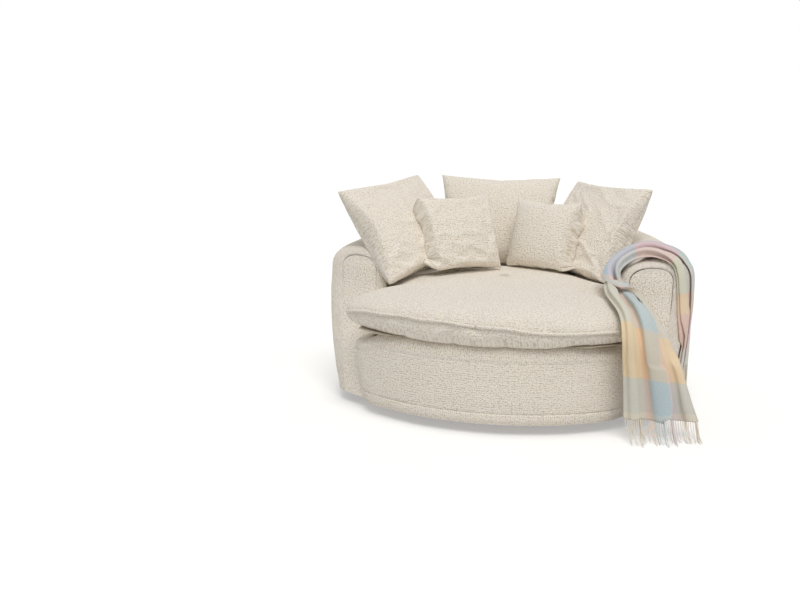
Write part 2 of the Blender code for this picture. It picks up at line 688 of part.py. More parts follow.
def make_springs(rail_middle):
    """Zigzag springs from the front rail to the back one, a little bowed."""
    rest = RAIL_TOP + CLEAR + SPRING_WIRE / 2
    back_radius = (INNER_RADIUS - SLIP - BOARD / 2) * math.cos(math.radians(BACK_STEP / 2))
    span = 2 * (INNER_RADIUS - SPRING_MARGIN)
    for k in range(SPRING_COUNT):
        x = span * (k / (SPRING_COUNT - 1) - 0.5)
        swing = math.copysign(SPRING_SWING, x)
        end_x = x + swing
        for a, b in zip(rail_middle, rail_middle[1:]):
            if a.x <= end_x <= b.x:
                start = lerp(a, b, (end_x - a.x) / (b.x - a.x)).y
        end = math.sqrt(back_radius ** 2 - end_x ** 2)
        turns = max(3, round((end - start) / SPRING_PITCH))
        route = []
        for step in range(4 * turns + 1):
            share = step / (4 * turns)
            side = (1, -1, -1, 1)[step % 4]
            route.append((x + side * swing, lerp(start, end, share),
                          rest + SPRING_BOW * math.sin(math.pi * share)))
        rod("seat_spring_%d" % (k + 1), route, SPRING_WIRE / 2, STEEL, resolution=0)


def make_deck():
    depth = APRON_LIP + SLIP
    run = [(p.x, p.y) for p in front_half(depth)]
    side = [(p.x, p.y) for p in inner_run(DECK_SIDE_GAP)]
    run[-1] = (min(run[-1][0], side[0][0]), run[-1][1])
    outline = half_to_whole(run + side)
    pad_low = RAIL_TOP + CLEAR + SPRING_WIRE + SPRING_BOW + CLEAR
    pad_high = DECK_HEIGHT - DECK_CLOTH - CLEAR
    plate("deck_pad", outline, pad_low, pad_high, FOAM_FINISH)
    plate("deck_cloth", outline, DECK_HEIGHT - DECK_CLOTH, DECK_HEIGHT, PLATFORM_CLOTH)


# Cushions

def seat_outline():
    """Plan of the seat cushion's piped seam: bowed front, drawn in between the arms."""
    nose = FRONT_REACH + SEAT_OVERHANG
    half_width = SEAT_TIP_X / math.sqrt(1 - (SEAT_TIP_Y / nose) ** 2)
    steps = [SEAT_TIP_X * share for share in SEAT_SHARES]
    right = [(x, -nose * math.sqrt(1 - (x / half_width) ** 2)) for x in steps]
    inside = inner_run(SEAT_SIDE_GAP + 2 * PIPING)
    waist = Vector((inside[0].x, SEAT_NOTCH - SEAT_TIP_Y))
    tip = Vector((SEAT_TIP_X, -SEAT_TIP_Y))
    right.append(tuple(tip))
    for share in (0.4, 0.72):
        right.append(tuple(lerp(tip, waist, share) + Vector((SEAT_SLACK, 0.0)) * (1 - share)))
    right.append(tuple(waist))
    right += [(p.x, p.y) for p in inside]
    return half_to_whole(right)


def seam_height(x, y):
    """Height of the piped seam: level round the back, rising and falling along the front."""
    share = max(-1.0, min(1.0, x / SEAT_TIP_X))
    rise = SEAT_SEAM[-1][1]
    for (a, low), (b, high) in zip(SEAT_SEAM, SEAT_SEAM[1:]):
        if a <= share <= b:
            rise = lerp(low, high, (share - a) / (b - a))
    return SEAT_RIM + rise * smooth((-y - SEAT_SEAM_FROM) / SEAT_SEAM_RUN)


def seat_dip(x, y):
    """How far the scatter cushions press the seat down near the back."""
    towards_back = smooth((y + SEAT_DIP_RUN / 4) / SEAT_DIP_RUN)
    return SEAT_DIP * towards_back * smooth((math.hypot(x, y) - SEAT_DIP_RUN) / SEAT_DIP_RUN)


def seat_ring(share, top):
    """A ring of the seat cushion at a share of the way out to its seam, above it or below."""
    row = []
    for x, y in seat_outline():
        rim = seam_height(x, y)
        if top:
            z = lerp(rim, SEAT_CROWN, (1 - share ** CROWN_FLAT) ** CROWN_FULL)
            z -= seat_dip(x * share, y * share) * (1 - share ** 4)
        else:
            z = lerp(rim, DECK_HEIGHT + CLEAR, (1 - share ** UNDER_FLAT) ** UNDER_FULL)
        row.append(Vector((x * share, -SEAT_OVERHANG + (y + SEAT_OVERHANG) * share, z)))
    return row


def seat_rows():
    """Rings of the seat cushion from its crown, out to the seam and in under it."""
    rows = [seat_ring(share, True) for share in (*SEAT_RINGS, 1.0)]
    return rows + [seat_ring(share, False) for share in reversed(SEAT_RINGS[1:])]


def ball(rows, top):
    """Points and faces of closed rings joined in order and closed by a point at each end."""
    count = len(rows[0])
    points = [p for row in rows for p in row]
    faces = grid_faces(len(rows), count, closed=True)
    for row, height in ((0, top), (len(rows) - 1, rows[-1][0].z)):
        middle = sum(rows[row], Vector((0, 0, 0))) / count
        points.append(Vector((middle.x, middle.y, height)))
        for j in range(count):
            faces.append((row * count + j, row * count + (j + 1) % count, len(points) - 1))
    return points, faces


class Solid:
    """A closed shape in world space that others are kept clear of."""

    def __init__(self, mesh, place=Matrix()):
        self.points = [place @ v.co for v in mesh.vertices]
        mesh.calc_loop_triangles()
        self.faces = [tuple(triangle.vertices) for triangle in mesh.loop_triangles]
        self.tree = BVHTree.FromPolygons([tuple(p) for p in self.points], self.faces)

    def moved(self, shift):
        points = [tuple(p + shift) for p in self.points]
        return BVHTree.FromPolygons(points, self.faces)

    def holds(self, place):
        """Whether a place is inside: a line from it then leaves through an odd count of faces."""
        away = Vector((0.21, -0.13, 0.97)).normalized()
        crossings = 0
        hit = self.tree.ray_cast(place, away)[0]
        while hit is not None:
            crossings += 1
            hit = self.tree.ray_cast(hit + away * CLEAR / 10, away)[0]
        return crossings % 2 == 1


def filling(cover, name, depth, finish):
    """A solid a little smaller all round than a closed cover."""
    points = [v.co - v.normal * depth for v in cover.data.vertices]
    faces = [tuple(polygon.vertices) for polygon in cover.data.polygons]
    made = add_mesh(name, points, faces, finish, round_edges=50.0)
    made.matrix_world = cover.matrix_world
    return made


def open_slit(cover, rim, row, cloth):
    """Take the faces between two runs of points out of a cover and give it its thickness."""
    spots = []
    for a, b, c, d in zip(rim, rim[1:], row[1:], row):
        spots.append((a + b + c + d) / 4)
    work = bmesh.new()
    work.from_mesh(cover.data)
    gone = []
    for face in work.faces:
        centre = face.calc_center_median()
        if any((centre - spot).length < CLEAR for spot in spots):
            gone.append(face)
    bmesh.ops.delete(work, geom=gone, context="FACES")
    work.to_mesh(cover.data)
    work.free()
    give_thickness(cover, cloth)


def give_thickness(made, thickness):
    step = made.modifiers.new("cloth", "SOLIDIFY")
    step.thickness = thickness
    step.offset = -1.0


def make_zip(name, rim, row, place, thickness):
    """A zip that lies in the slit between two runs of points about the cushion's middle."""
    points = []
    last = len(rim) - 1
    for k, (a, b) in enumerate(zip(rim, row)):
        if k in (0, last):
            near = 1 if k == 0 else last - 1
            a, b = lerp(a, rim[near], ZIP_MARGIN / 4), lerp(b, row[near], ZIP_MARGIN / 4)
        points.append([lerp(a, b, ZIP_MARGIN), lerp(a, b, 1 - ZIP_MARGIN)])
    flat = [p for pair in points for p in pair]
    mesh = bpy.data.meshes.new(name)
    mesh.from_pydata([tuple(p) for p in flat], [], grid_faces(len(points), 2))
    mesh.materials.append(ZIP_FINISH)
    facing = sum((polygon.normal for polygon in mesh.polygons), Vector((0, 0, 0)))
    if facing.dot(sum(flat, Vector((0, 0, 0)))) < 0:
        mesh.flip_normals()
    made = bpy.data.objects.new(name, mesh)
    made.matrix_world = place
    PARTS.objects.link(made)
    give_thickness(made, thickness)


def make_seat_cushion():
    rows = seat_rows()
    middle = Vector((0.0, -SEAT_OVERHANG, (SEAT_CROWN + DECK_HEIGHT) / 2))
    place = Matrix.Translation(middle)
    rows = [[p - middle for p in row] for row in rows]
    points, faces = ball(rows, SEAT_CROWN - middle.z)
    cover = add_mesh("seat_cover", points, faces, BOUCLE, round_edges=50.0)
    cover.matrix_world = place
    solid = Solid(cover.data, place)
    filling(cover, "seat_core", CLOTH + FILL_GAP, FOAM_FINISH)
    seam, under = rows[SEAT_SEAM_ROW], rows[SEAT_SEAM_ROW + 1]
    back = len(seam) // 2
    cells = range(back - ZIP_CELLS, back + ZIP_CELLS + 1)
    rim, row = [seam[k] for k in cells], [under[k] for k in cells]
    open_slit(cover, rim, row, CLOTH)
    make_zip("seat_zip", rim, row, place, CLOTH)
    flat = [Vector((p.x, p.y)) for p in seam]
    away = offset_path([flat[-1], *flat, flat[0]], -PIPING - SLIP)[1:-1]
    piping = rod("seat_piping", [(a.x, a.y, p.z) for a, p in zip(away, seam)], PIPING, BOUCLE,
                 1, True)
    piping.location = middle
    return solid


def pillow_height(u, v):
    full = (1 - abs(u) ** CUSHION_FLAT) * (1 - abs(v) ** CUSHION_FLAT)
    return max(0.0, full) ** CUSHION_FULL


def pillow(width, height, thickness):
    """A scatter cushion about its middle: X across, Z up, front towards -Y.

    Returns its points, its faces and the two runs of points beside the zip.
    """
    cells = CUSHION_CELLS
    corners = ((0, 0), (1, 0), (1, 1), (0, 1))
    ticks = [math.sin(math.pi / 2 * (2 * k / cells - 1)) for k in range(cells + 1)]
    index, points = {}, []
    for side in (-1, 1):
        for i, u in enumerate(ticks):
            for j, v in enumerate(ticks):
                on_rim = i in (0, cells) or j in (0, cells)
                if on_rim and (i, j, -1) in index:
                    index[(i, j, 1)] = index[(i, j, -1)]
                    continue
                index[(i, j, side)] = len(points)
                x = width / 2 * u * (1 - CORNER_PULL * (1 - v * v) * abs(u))
                z = height / 2 * v * (1 - CORNER_PULL * (1 - u * u) * abs(v))
                points.append(Vector((x, side * thickness / 2 * pillow_height(u, v), z)))
    faces = []
    for side in (-1, 1):
        for i in range(cells):
            for j in range(cells):
                a, b, c, d = (index[(i + m, j + n, side)] for m, n in corners)
                if (i in (0, cells - 1)) and (j in (0, cells - 1)):
                    rising = (i == 0) == (j == 0)
                    faces += [(a, b, c), (a, c, d)] if rising else [(a, b, d), (b, c, d)]
                else:
                    faces.append((a, b, c, d))
    run = range(cells // 2 - ZIP_CELLS, cells // 2 + ZIP_CELLS + 1)
    return points, faces, [points[index[(i, 0, 1)]] for i in run], [
        points[index[(i, 1, 1)]] for i in run]


def slide(shape, shift, direction, solids, reach):
    """Push a shape along a direction until it is about to touch; returns the new shift."""
    travelled = 0.0
    for step in (0.004, 0.0008, CLEAR / 2):
        while travelled < reach:
            tree = shape.moved(shift + direction * step)
            if any(tree.overlap(other.tree) for other in solids):
                break
            shift = shift + direction * step
            travelled += step
    return shift - direction * SLIP


def cushion_middle(middle):
    x, y, above = middle
    return Vector((x * INNER_RADIUS, y * INNER_RADIUS, SEAT_CROWN + above))


def make_cushions(solids):
    """Stand each scatter cushion on the seat against what is behind it."""
    down = Vector((0.0, 0.0, -1.0))
    for name, width, height, thickness, middle, facing, lean, roll in CUSHIONS:
        points, faces, rim, row = pillow(width, height, thickness)
        cover = add_mesh(name + "_cover", points, faces, BOUCLE, round_edges=50.0)
        turn = Matrix.Rotation(math.radians(facing), 4, "Z")
        tilt = Matrix.Rotation(-math.radians(lean), 4, "X")
        spin = Matrix.Rotation(math.radians(roll), 4, "Y")
        place = Matrix.Translation(cushion_middle(middle)) @ turn @ tilt @ spin
        back = turn.to_3x3() @ Vector((0.0, 1.0, 0.0))
        shape = Solid(cover.data, place)
        shift = Vector((0.0, 0.0, 0.0))
        for direction in (down, back, down):
            shift = slide(shape, shift, direction, solids, SETTLE_REACH)
        place = Matrix.Translation(shift) @ place
        cover.matrix_world = place
        filling(cover, name + "_insert", COVER_CLOTH + FILL_GAP, FIBRE)
        open_slit(cover, rim, row, COVER_CLOTH)
        make_zip(name + "_zip", rim, row, place, COVER_CLOTH)
        shape.points = [p + shift for p in shape.points]
        shape.tree = shape.moved(Vector((0.0, 0.0, 0.0)))
        solids.append(shape)


# The throw

def spline_point(route, share):
    """A smooth curve through route points; share runs from 0 to the last point's index."""
    k = min(int(share), len(route) - 2)
    t = share - k
    a = route[max(k - 1, 0)]
    b, c = route[k], route[k + 1]
    d = route[min(k + 2, len(route) - 1)]
    return 0.5 * (2 * b + (c - a) * t + (2 * a - 5 * b + 4 * c - d) * t * t
                  + (3 * b - a - 3 * c + d) * t ** 3)


def pushed_clear(place, solids, gap):
    """The nearest place that keeps a gap to every solid."""
    for _ in range(3):
        for solid in solids:
            near, normal, _, distance = solid.tree.find_nearest(place)
            if solid.holds(place):
                place = near + normal * gap
            elif distance < gap:
                place = near + (place - near).normalized() * gap
    return place


def throw_edges():
    """The route of the throw's two edges in metres."""
    edges = ([], [])
    for pair in THROW_ROUTE:
        for edge, (x, y, share) in zip(edges, pair):
            edge.append(Vector((BACK_RADIUS + x, y, ARM_HEIGHT * share)))
    return edges


def make_throw(solids):
    back_edge, front_edge = throw_edges()
    last = len(THROW_ROUTE) - 1
    rows = last * THROW_STEPS + 1
    grid = []
    for i in range(rows):
        along = i / THROW_STEPS
        a, b = spline_point(back_edge, along), spline_point(front_edge, along)
        ahead = spline_point(back_edge, min(along + 0.5, last))
        ahead -= spline_point(back_edge, max(along - 0.5, 0.0))
        normal = ahead.cross(b - a).normalized()
        fold = lerp(THROW_LAID_FOLD, THROW_FOLD, smooth((along - THROW_HANGS_FROM) / 3))
        row = []
        for j in range(THROW_COLUMNS):
            across = j / (THROW_COLUMNS - 1)
            wave = math.sin(2 * math.pi * THROW_FOLDS * across + THROW_TURN * along)
            place = lerp(a, b, across) + normal * fold * wave
            row.append(pushed_clear(place, solids, THROW_LIFT))
        grid.append(row)
    shape = Solid(add_mesh("throw_shape", [p for row in grid for p in row],
                           grid_faces(rows, THROW_COLUMNS), WOOL, CUT_TOOLS).data)
    bpy.data.objects.remove(bpy.data.objects["throw_shape"], do_unlink=True)
    shift = slide(shape, Vector((0, 0, 0)), Vector((0, 0, -1)), solids, THROW_LIFT)
    return [[p + shift for p in row] for row in grid]


def sheet_normals(grid):
    rows, columns = len(grid), len(grid[0])
    normals = []
    for i in range(rows):
        row = []
        for j in range(columns):
            along = grid[min(i + 1, rows - 1)][j] - grid[max(i - 1, 0)][j]
            across = grid[i][min(j + 1, columns - 1)] - grid[i][max(j - 1, 0)]
            row.append(along.cross(across).normalized())
        normals.append(row)
    return normals


def fringe(name, layers, first, second):
    """Fringe that hangs from a hem: two runs down, one after the other."""
    strips = []
    for hem, low in zip(layers, (THROW_CLOTH + FLOOR_GAP, FLOOR_GAP)):
        near = [p + first * 2 * SLIP for p in hem]
        middle = [p + first * FRINGE_LENGTH / 2 for p in near]
        far = [p + second * FRINGE_LENGTH / 2 for p in middle]
        strips.append([[Vector((p.x, p.y, max(p.z, low))) for p in run]
                       for run in (near, middle, far)])
    thick_sheet(name, *strips, WOOL_FRINGE)


def make_throw_pieces(solids):
    grid = make_throw(solids)
    normals = sheet_normals(grid)
    outer = [[p + n * THROW_CLOTH for p, n in zip(*rows)] for rows in zip(grid, normals)]
    thick_sheet("throw", outer, grid, WOOL)
    down = Vector((0.0, 0.0, -1.0))
    fringe("throw_fringe_side", (outer[0], grid[0]), down, down)
    fringe("throw_fringe_front", (outer[-1], grid[-1]), Vector(FRINGE_FALL).normalized(),
           Vector(FRINGE_LIE).normalized())


clear_scene()
PARTS = new_collection(COLLECTION)
CUT_TOOLS = new_collection(CUTTERS)

BOUCLE = material("cream_boucle", (0.78, 0.70, 0.57), 0.95)
FOAM_FINISH = material("foam", (0.83, 0.78, 0.55), 0.9)
FIBRE = material("fibre_filling", (0.86, 0.86, 0.84), 0.95)
PLYWOOD = material("plywood", (0.62, 0.45, 0.27), 0.65)
PINE = material("pine", (0.72, 0.53, 0.31), 0.65)
STEEL = material("spring_steel", (0.42, 0.42, 0.43), 0.35, 1.0)
BLACK_PLASTIC = material("black_plastic", (0.03, 0.03, 0.03), 0.5)
BLACK_CLOTH = material("black_cloth", (0.03, 0.03, 0.032), 0.95)
PLATFORM_CLOTH = material("platform_cloth", (0.60, 0.55, 0.46), 0.9)
ZIP_FINISH = material("zip_tape", (0.70, 0.65, 0.55), 0.7)
WOOL = material("plaid_wool", (0.66, 0.60, 0.52), 0.9)
WOOL_FRINGE = material("wool_fringe", (0.74, 0.66, 0.54), 0.95)


def wall_solid():
    rings = [section(station, SKIRT_HEIGHT, SKIRT_HEIGHT) for station in all_stations(0.0)]
    return stand_in(solid_loft("wall_shape", rings, FOAM_FINISH, CUT_TOOLS))


def apron_solid():
    front = apron_grid(apron_profile(), -ARM_INNER_Y)
    rings = [[*row, Vector((row[-1].x, row[-1].y, SKIRT_HEIGHT))] for row in front]
    return stand_in(solid_loft("apron_shape", rings, FOAM_FINISH, CUT_TOOLS))


def stand_in(made):
    solid = Solid(made.data)
    bpy.data.objects.remove(made, do_unlink=True)
    return solid


def main():
    make_wall()
    make_wall_frame()
    make_bottom()
    make_springs(make_rails())
    make_deck()
    make_apron()
    solids = [wall_solid(), make_seat_cushion()]
    make_cushions(solids)
    solids.append(apron_solid())
    make_throw_pieces(solids)


main()
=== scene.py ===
# %% [markdown]
# # A round lounge armchair in cream boucle
# This lesson dresses a packed chair. The solids that carry it are loaded first and stay where
# they are. Soft parts are then made again as finer meshes in the same places, because a cushion
# or a cover needs many more points than a solid that is only there for contact.

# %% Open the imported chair
import math

import bmesh
import bpy
import numpy as np
from mathutils import Matrix, Vector, noise
from mathutils.bvhtree import BVHTree


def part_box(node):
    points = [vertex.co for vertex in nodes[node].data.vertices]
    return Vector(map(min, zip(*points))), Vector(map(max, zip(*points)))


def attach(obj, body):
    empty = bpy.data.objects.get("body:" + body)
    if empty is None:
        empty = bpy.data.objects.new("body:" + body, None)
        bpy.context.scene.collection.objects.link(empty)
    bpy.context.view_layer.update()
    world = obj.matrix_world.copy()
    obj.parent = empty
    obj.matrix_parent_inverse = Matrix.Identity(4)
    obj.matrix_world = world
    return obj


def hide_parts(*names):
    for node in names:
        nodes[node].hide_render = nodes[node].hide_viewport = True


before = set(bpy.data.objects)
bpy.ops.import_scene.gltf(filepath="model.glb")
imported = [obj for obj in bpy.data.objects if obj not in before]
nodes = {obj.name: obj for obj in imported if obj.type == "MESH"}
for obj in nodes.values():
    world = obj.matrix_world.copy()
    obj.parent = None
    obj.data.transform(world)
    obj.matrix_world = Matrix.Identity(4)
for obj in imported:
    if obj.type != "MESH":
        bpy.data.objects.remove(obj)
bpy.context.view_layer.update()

# %% [markdown]
# ## The camera
# A camera is set by its place, the way it looks and its focal length. All three come from
# measuring where known heights and corners of the chair lie in the picture, so the render can be
# laid over it. The focal length is worked out in picture pixels and then turned into millimetres
# on the sensor, which is what Blender asks for.

# %% Set up the camera
CAMERA_PLACE = Vector((0.749, -4.478, 1.348))
CAMERA_AIM = Vector((-0.2507, 0.9456, -0.2076))
PICTURE_WIDTH = 800
FOCAL_PIXELS = 1148
SENSOR_WIDTH = 36.0

scene = bpy.context.scene
lens = bpy.data.cameras.new("studio_camera")
lens.sensor_width = SENSOR_WIDTH
lens.lens = FOCAL_PIXELS / PICTURE_WIDTH * SENSOR_WIDTH
camera = bpy.data.objects.new("studio_camera", lens)
camera.location = CAMERA_PLACE
camera.rotation_euler = CAMERA_AIM.to_track_quat("-Z", "Y").to_euler()
scene.collection.objects.link(camera)
scene.camera = camera
scene.view_settings.view_transform = "Standard"
print("focal length", round(lens.lens, 2), "mm")

# %% [markdown]
# ## Writing materials as sums
# A material in Blender is a web of nodes. Typing every link by hand is hard to read, so a small
# class wraps a node's output, and a sum such as 1 - mask adds the Math node that works it out.
# Every other node comes from one method, which takes its type, its settings and its inputs.

# %% A socket that can be used in sums
class Value:
    def __init__(self, finish, socket):
        self.finish, self.socket = finish, socket

    def _math(self, operation, first, second):
        return self.finish.node("ShaderNodeMath", {"operation": operation}, {0: first, 1: second})

    def __add__(self, other):
        return self._math("ADD", self, other)

    def __sub__(self, other):
        return self._math("SUBTRACT", self, other)

    def __mul__(self, other):
        return self._math("MULTIPLY", self, other)

    def __rsub__(self, other):
        return self._math("SUBTRACT", other, self)

    __radd__, __rmul__ = __add__, __mul__


# %% A material and the one method that adds its nodes
class Finish:
    def __init__(self, name, library=bpy.data.materials):
        self.made = library.new(name)
        self.made.use_nodes = True
        self.tree = self.made.node_tree
        self.tree.nodes.clear()

    def node(self, kind, settings=None, inputs=None, output=0):
        made = self.tree.nodes.new(kind)
        for key, value in (settings or {}).items():
            if key == "stops":
                self.set_stops(made.color_ramp, value)
            else:
                setattr(made, key, value)
        for key, value in (inputs or {}).items():
            if isinstance(value, Value):
                self.tree.links.new(value.socket, made.inputs[key])
            else:
                made.inputs[key].default_value = value
        return Value(self, made.outputs[output] if len(made.outputs) else None)

    def set_stops(self, ramp, stops):
        while len(ramp.elements) < len(stops):
            ramp.elements.new(0.5)
        for element, (place, colour) in zip(ramp.elements, stops):
            element.position = place
            element.color = (*colour, 1.0)

    def mixed(self, share, first, second, way="MIX"):
        return self.node("ShaderNodeMix", {"data_type": "RGBA", "blend_type": way},
                         {0: share, 6: first, 7: second}, output=2)

    def weave(self):
        return self.node("ShaderNodeAttribute", {"attribute_name": "weave"}, output=1)

    def place(self):
        return self.node("ShaderNodeTexCoord", None, output=3)

    def axis(self, place, number):
        return self.node("ShaderNodeSeparateXYZ", None, {0: place}, output=number)

    def scaled(self, place, size):
        """The place divided by one size, or by one for each axis, so that a unit is one size."""
        sizes = size if isinstance(size, tuple) else (size,) * 3
        return self.node("ShaderNodeVectorMath", {"operation": "DIVIDE"}, {0: place, 1: sizes})

    def ramp(self, value, low, high):
        return self.node("ShaderNodeMapRange", {"interpolation_type": "SMOOTHSTEP"},
                         {0: value, 1: low, 2: high, 3: 0.0, 4: 1.0})

    def sine(self, value):
        return self.node("ShaderNodeMath", {"operation": "SINE"}, {0: value})

    def noise(self, place, size, detail=2.0, roughness=0.5, output=0):
        return self.node("ShaderNodeTexNoise", None,
                         {"Vector": self.scaled(place, size), "Scale": 1.0, "Detail": detail,
                          "Roughness": roughness}, output)

    def threads(self, weave, width):
        """Two crossing waves, one for the threads of each direction of a plain weave."""
        return [self.sine(self.axis(weave, k) * (math.pi / width)) for k in (0, 1)]

    def bump(self, height, strength, distance):
        return self.node("ShaderNodeBump", None,
                         {"Strength": strength, "Distance": distance, "Height": height})

    def done(self, inputs):
        shader = self.node("ShaderNodeBsdfPrincipled", None, inputs)
        self.node("ShaderNodeOutputMaterial", None, {"Surface": shader})
        return self.made


def rgba(red, green, blue):
    """A colour given from 0 to 255, as the light values that Blender works in."""
    light = []
    for part in (red, green, blue):
        share = part / 255
        light.append(share / 12.92 if share <= 0.04045 else ((share + 0.055) / 1.055) ** 2.4)
    return (*light, 1.0)


# %% [markdown]
# ## Cream boucle
# Boucle is woven from a looped yarn. Close up it is a bed of small nubs in loose rows. A cell
# texture stretched along the rows makes the nubs, a slow wave makes the rows, and both feed the
# bump. They also feed the colour, which is painted browner where the pile is low, in the gaps
# between nubs and along the rows: that browner colour is painted shade in the hollows of the bump.
# The pattern reads its place from a "weave" value stored in each mesh: metres along the rows,
# across them, and into the cloth. It then follows each panel as the real weave does.

# %% The boucle finish
NUB = (0.0072, 0.0059, 0.0059)
ROW = 0.0085
CREAM = rgba(249, 243, 233)
# The browner colour painted into the low parts of the pile: painted shade in the gaps between nubs
# and rows.
PAINTED_GAP_SHADE = rgba(220, 206, 183)
CREAM_FLECK = rgba(236, 227, 212)
CREAM_WORN = rgba(246, 238, 225)


def boucle(name, rows):
    cloth = Finish(name)
    weave = cloth.weave()
    wander = cloth.noise(weave, 0.05)
    row = cloth.sine(cloth.axis(weave, 1) * (2 * math.pi / ROW) + wander * 9.0)
    drift = cloth.noise(weave, 0.009, 1.0, output=1)
    shaken = cloth.node("ShaderNodeVectorMath", {"operation": "MULTIPLY_ADD"},
                        {0: drift, 1: (0.5, 0.5, 0.5), 2: cloth.scaled(weave, NUB)})
    nub = cloth.node("ShaderNodeTexVoronoi", {"voronoi_dimensions": "2D", "feature": "F1"},
                     {"Vector": shaken, "Scale": 1.0, "Randomness": 0.8})
    fibre = cloth.noise(weave, (0.0022, 0.0020, 0.0020), 3.0, 0.6)
    clump = cloth.noise(weave, (0.014, 0.012, 0.012))
    height = (1 - nub) * 0.8 + row * rows + fibre * 0.16 + clump * 0.08
    worn = cloth.noise(weave, 0.22)
    # Painted shade: the colour runs to the gap shade wherever the pile's height is low.
    colour = cloth.mixed(cloth.ramp(height, 0.32, 0.70), PAINTED_GAP_SHADE, CREAM)
    colour = cloth.mixed(cloth.ramp(clump, 0.50, 0.70) * 0.3, colour, CREAM_FLECK)
    colour = cloth.mixed(cloth.ramp(worn, 0.35, 0.7) * 0.35, colour, CREAM_WORN)
    return cloth.done({"Base Color": colour, "Roughness": 0.9 + fibre * 0.1,
                       "Normal": cloth.bump(height, 0.8, 0.0042),
                       "Sheen Weight": 0.25, "Sheen Roughness": 0.6})


BOUCLE = boucle("cream_boucle", 0.05)
RIBBED = boucle("cream_boucle_ribbed", 0.09)
print("made", BOUCLE.name, "and", RIBBED.name)

# %% [markdown]
# ## Wood, steel, plastic and lining cloths
# The parts inside are plain, but each is still a real material: plywood shows its plies on an
# edge and a pale grain on a face, pine has wider rings, spring wire is dark drawn steel, the
# feet are moulded black plastic, and the cloth under the chair is a black felt.

# %% Plywood and pine
def wood(name, pale, dark, ring, wobble, roughness=0.5):
    grain = Finish(name)
    place = grain.place()
    drift = grain.noise(place, (0.12, 0.12, 0.03), 3.0)
    ply = grain.sine(grain.axis(place, 2) * (2 * math.pi / ring) + drift * wobble)
    pores = grain.noise(place, (0.02, 0.02, 0.0012))
    colour = grain.mixed(grain.ramp(ply, -0.6, 1.0), pale, dark)
    colour = grain.mixed(grain.ramp(pores, 0.5, 0.75) * 0.4, colour, dark)
    return grain.done({"Base Color": colour, "Roughness": roughness + pores * 0.2,
                       "Normal": grain.bump(ply * 0.4 + pores, 0.25, 0.0006)})


PLYWOOD = wood("birch_plywood", rgba(219, 190, 148), rgba(176, 136, 92), 0.0032, 4.0)
PINE = wood("planed_pine", rgba(226, 192, 140), rgba(196, 148, 92), 0.019, 16.0)


# %% Steel, plastic, foam and black felt
def speckled(name, base, speck, size, bumpiness, roughness, metal=0.0):
    plain = Finish(name)
    grain = plain.noise(plain.place(), size, 3.0, 0.6)
    colour = plain.mixed(plain.ramp(grain, 0.35, 0.7), base, speck)
    return plain.done({"Base Color": colour, "Roughness": roughness + grain * 0.2,
                       "Metallic": metal, "Normal": plain.bump(grain, 0.4, bumpiness)})


STEEL = speckled("spring_wire", rgba(150, 150, 152), rgba(112, 110, 108), 0.004, 0.0002, 0.25, 1.0)
PLASTIC = speckled("foot_plastic", rgba(28, 28, 30), rgba(44, 44, 46), 0.0012, 0.0001, 0.4)
FOAM = speckled("seat_foam", rgba(232, 222, 178), rgba(206, 192, 140), 0.0016, 0.0006, 0.8)
FELT = speckled("bottom_felt", rgba(24, 24, 26), rgba(52, 52, 54), 0.0015, 0.0004, 0.85)
ZIP_TEETH = speckled("zip_teeth", rgba(206, 196, 174), rgba(178, 166, 140), 0.0010, 0.0001, 0.35)


# %% The deck lining, plain woven
def plain_weave(name, yarn, gap, thread):
    woven = Finish(name)
    weave = woven.weave()
    warp, weft = woven.threads(weave, thread)
    slub = woven.noise(weave, (0.03, 0.004, 0.01))
    height = warp * weft * 0.5 + slub
    # The colour is painted darker where the weave is low: painted shade between the threads.
    return woven.done({"Base Color": woven.mixed(woven.ramp(height, 0.1, 0.9), gap, yarn),
                       "Roughness": 0.85 + slub * 0.1,
                       "Normal": woven.bump(height, 0.5, 0.0008)})


# The second colour is the painted shade between the threads.
LINING = plain_weave("deck_lining", rgba(222, 212, 194), rgba(178, 166, 146), 0.0016)

# %% [markdown]
# ## Finishes for the parts that stay as they are
# The rails, posts, boards, springs and feet already have the right shape, so they keep their
# solids, and each only gets its finish in place of the plain one that it came with.

# %% Give the carried-over parts their finish
KEPT = {
    PLYWOOD: ["bottom_board", "cap_rail", "front_rail", "seat_rail",
              "arm_front_board_left", "arm_front_board_right"],
    PINE: ["wall_post_%d" % k for k in range(1, 8)],
    STEEL: ["seat_spring_%d" % k for k in range(1, 7)],
    PLASTIC: ["foot_middle"] + ["foot_%d" % k for k in range(1, 6)],
    FOAM: ["deck_pad"],
    ZIP_TEETH: sorted(name for name in nodes if name.endswith("_zip")),
}
for finish, names in KEPT.items():
    for name in names:
        nodes[name].data.materials.clear()
        nodes[name].data.materials.append(finish)
    print(finish.name, "on", len(names), "parts")

# %% [markdown]
# ## Turning points into a piece
# Every cover below is a grid of points worked out from the chair's plan and section. Blender
# makes a mesh from lists of points and faces.

# %% Make a piece from points and faces
def grid_faces(rows, columns, closed=False):
    """Faces between rows of points; in a closed grid the last column joins the first."""
    faces = []
    for i in range(rows - 1):
        here, above = i * columns, (i + 1) * columns
        for j in range(columns if closed else columns - 1):
            k = (j + 1) % columns
            faces.append((here + j, here + k, above + k, above + j))
    return faces


def fan(start, count, middle):
    """Triangles from a ring of points, the first of which is start, to its middle point."""
    return [(start + j, start + (j + 1) % count, middle) for j in range(count)]


def make_piece(name, points, faces, weave, finish, body, slot, stands_for):
    mesh = bpy.data.meshes.new(name)
    mesh.from_pydata([tuple(p) for p in points], [], faces)
    layer = mesh.attributes.new("weave", "FLOAT_VECTOR", "POINT")
    layer.data.foreach_set("vector", [c for place in weave for c in place])
    mesh.materials.append(finish)
    mesh.shade_smooth()
    piece = bpy.data.objects.new(name, mesh)
    scene.collection.objects.link(piece)
    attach(piece, body)
    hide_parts(*stands_for)
    return piece


def grid_piece(name, grid, *rest):
    """A piece from rows of points; rest is what make_piece takes after its faces."""
    return make_piece(name, [p for row in grid for p in row],
                      grid_faces(len(grid), len(grid[0])), *rest)


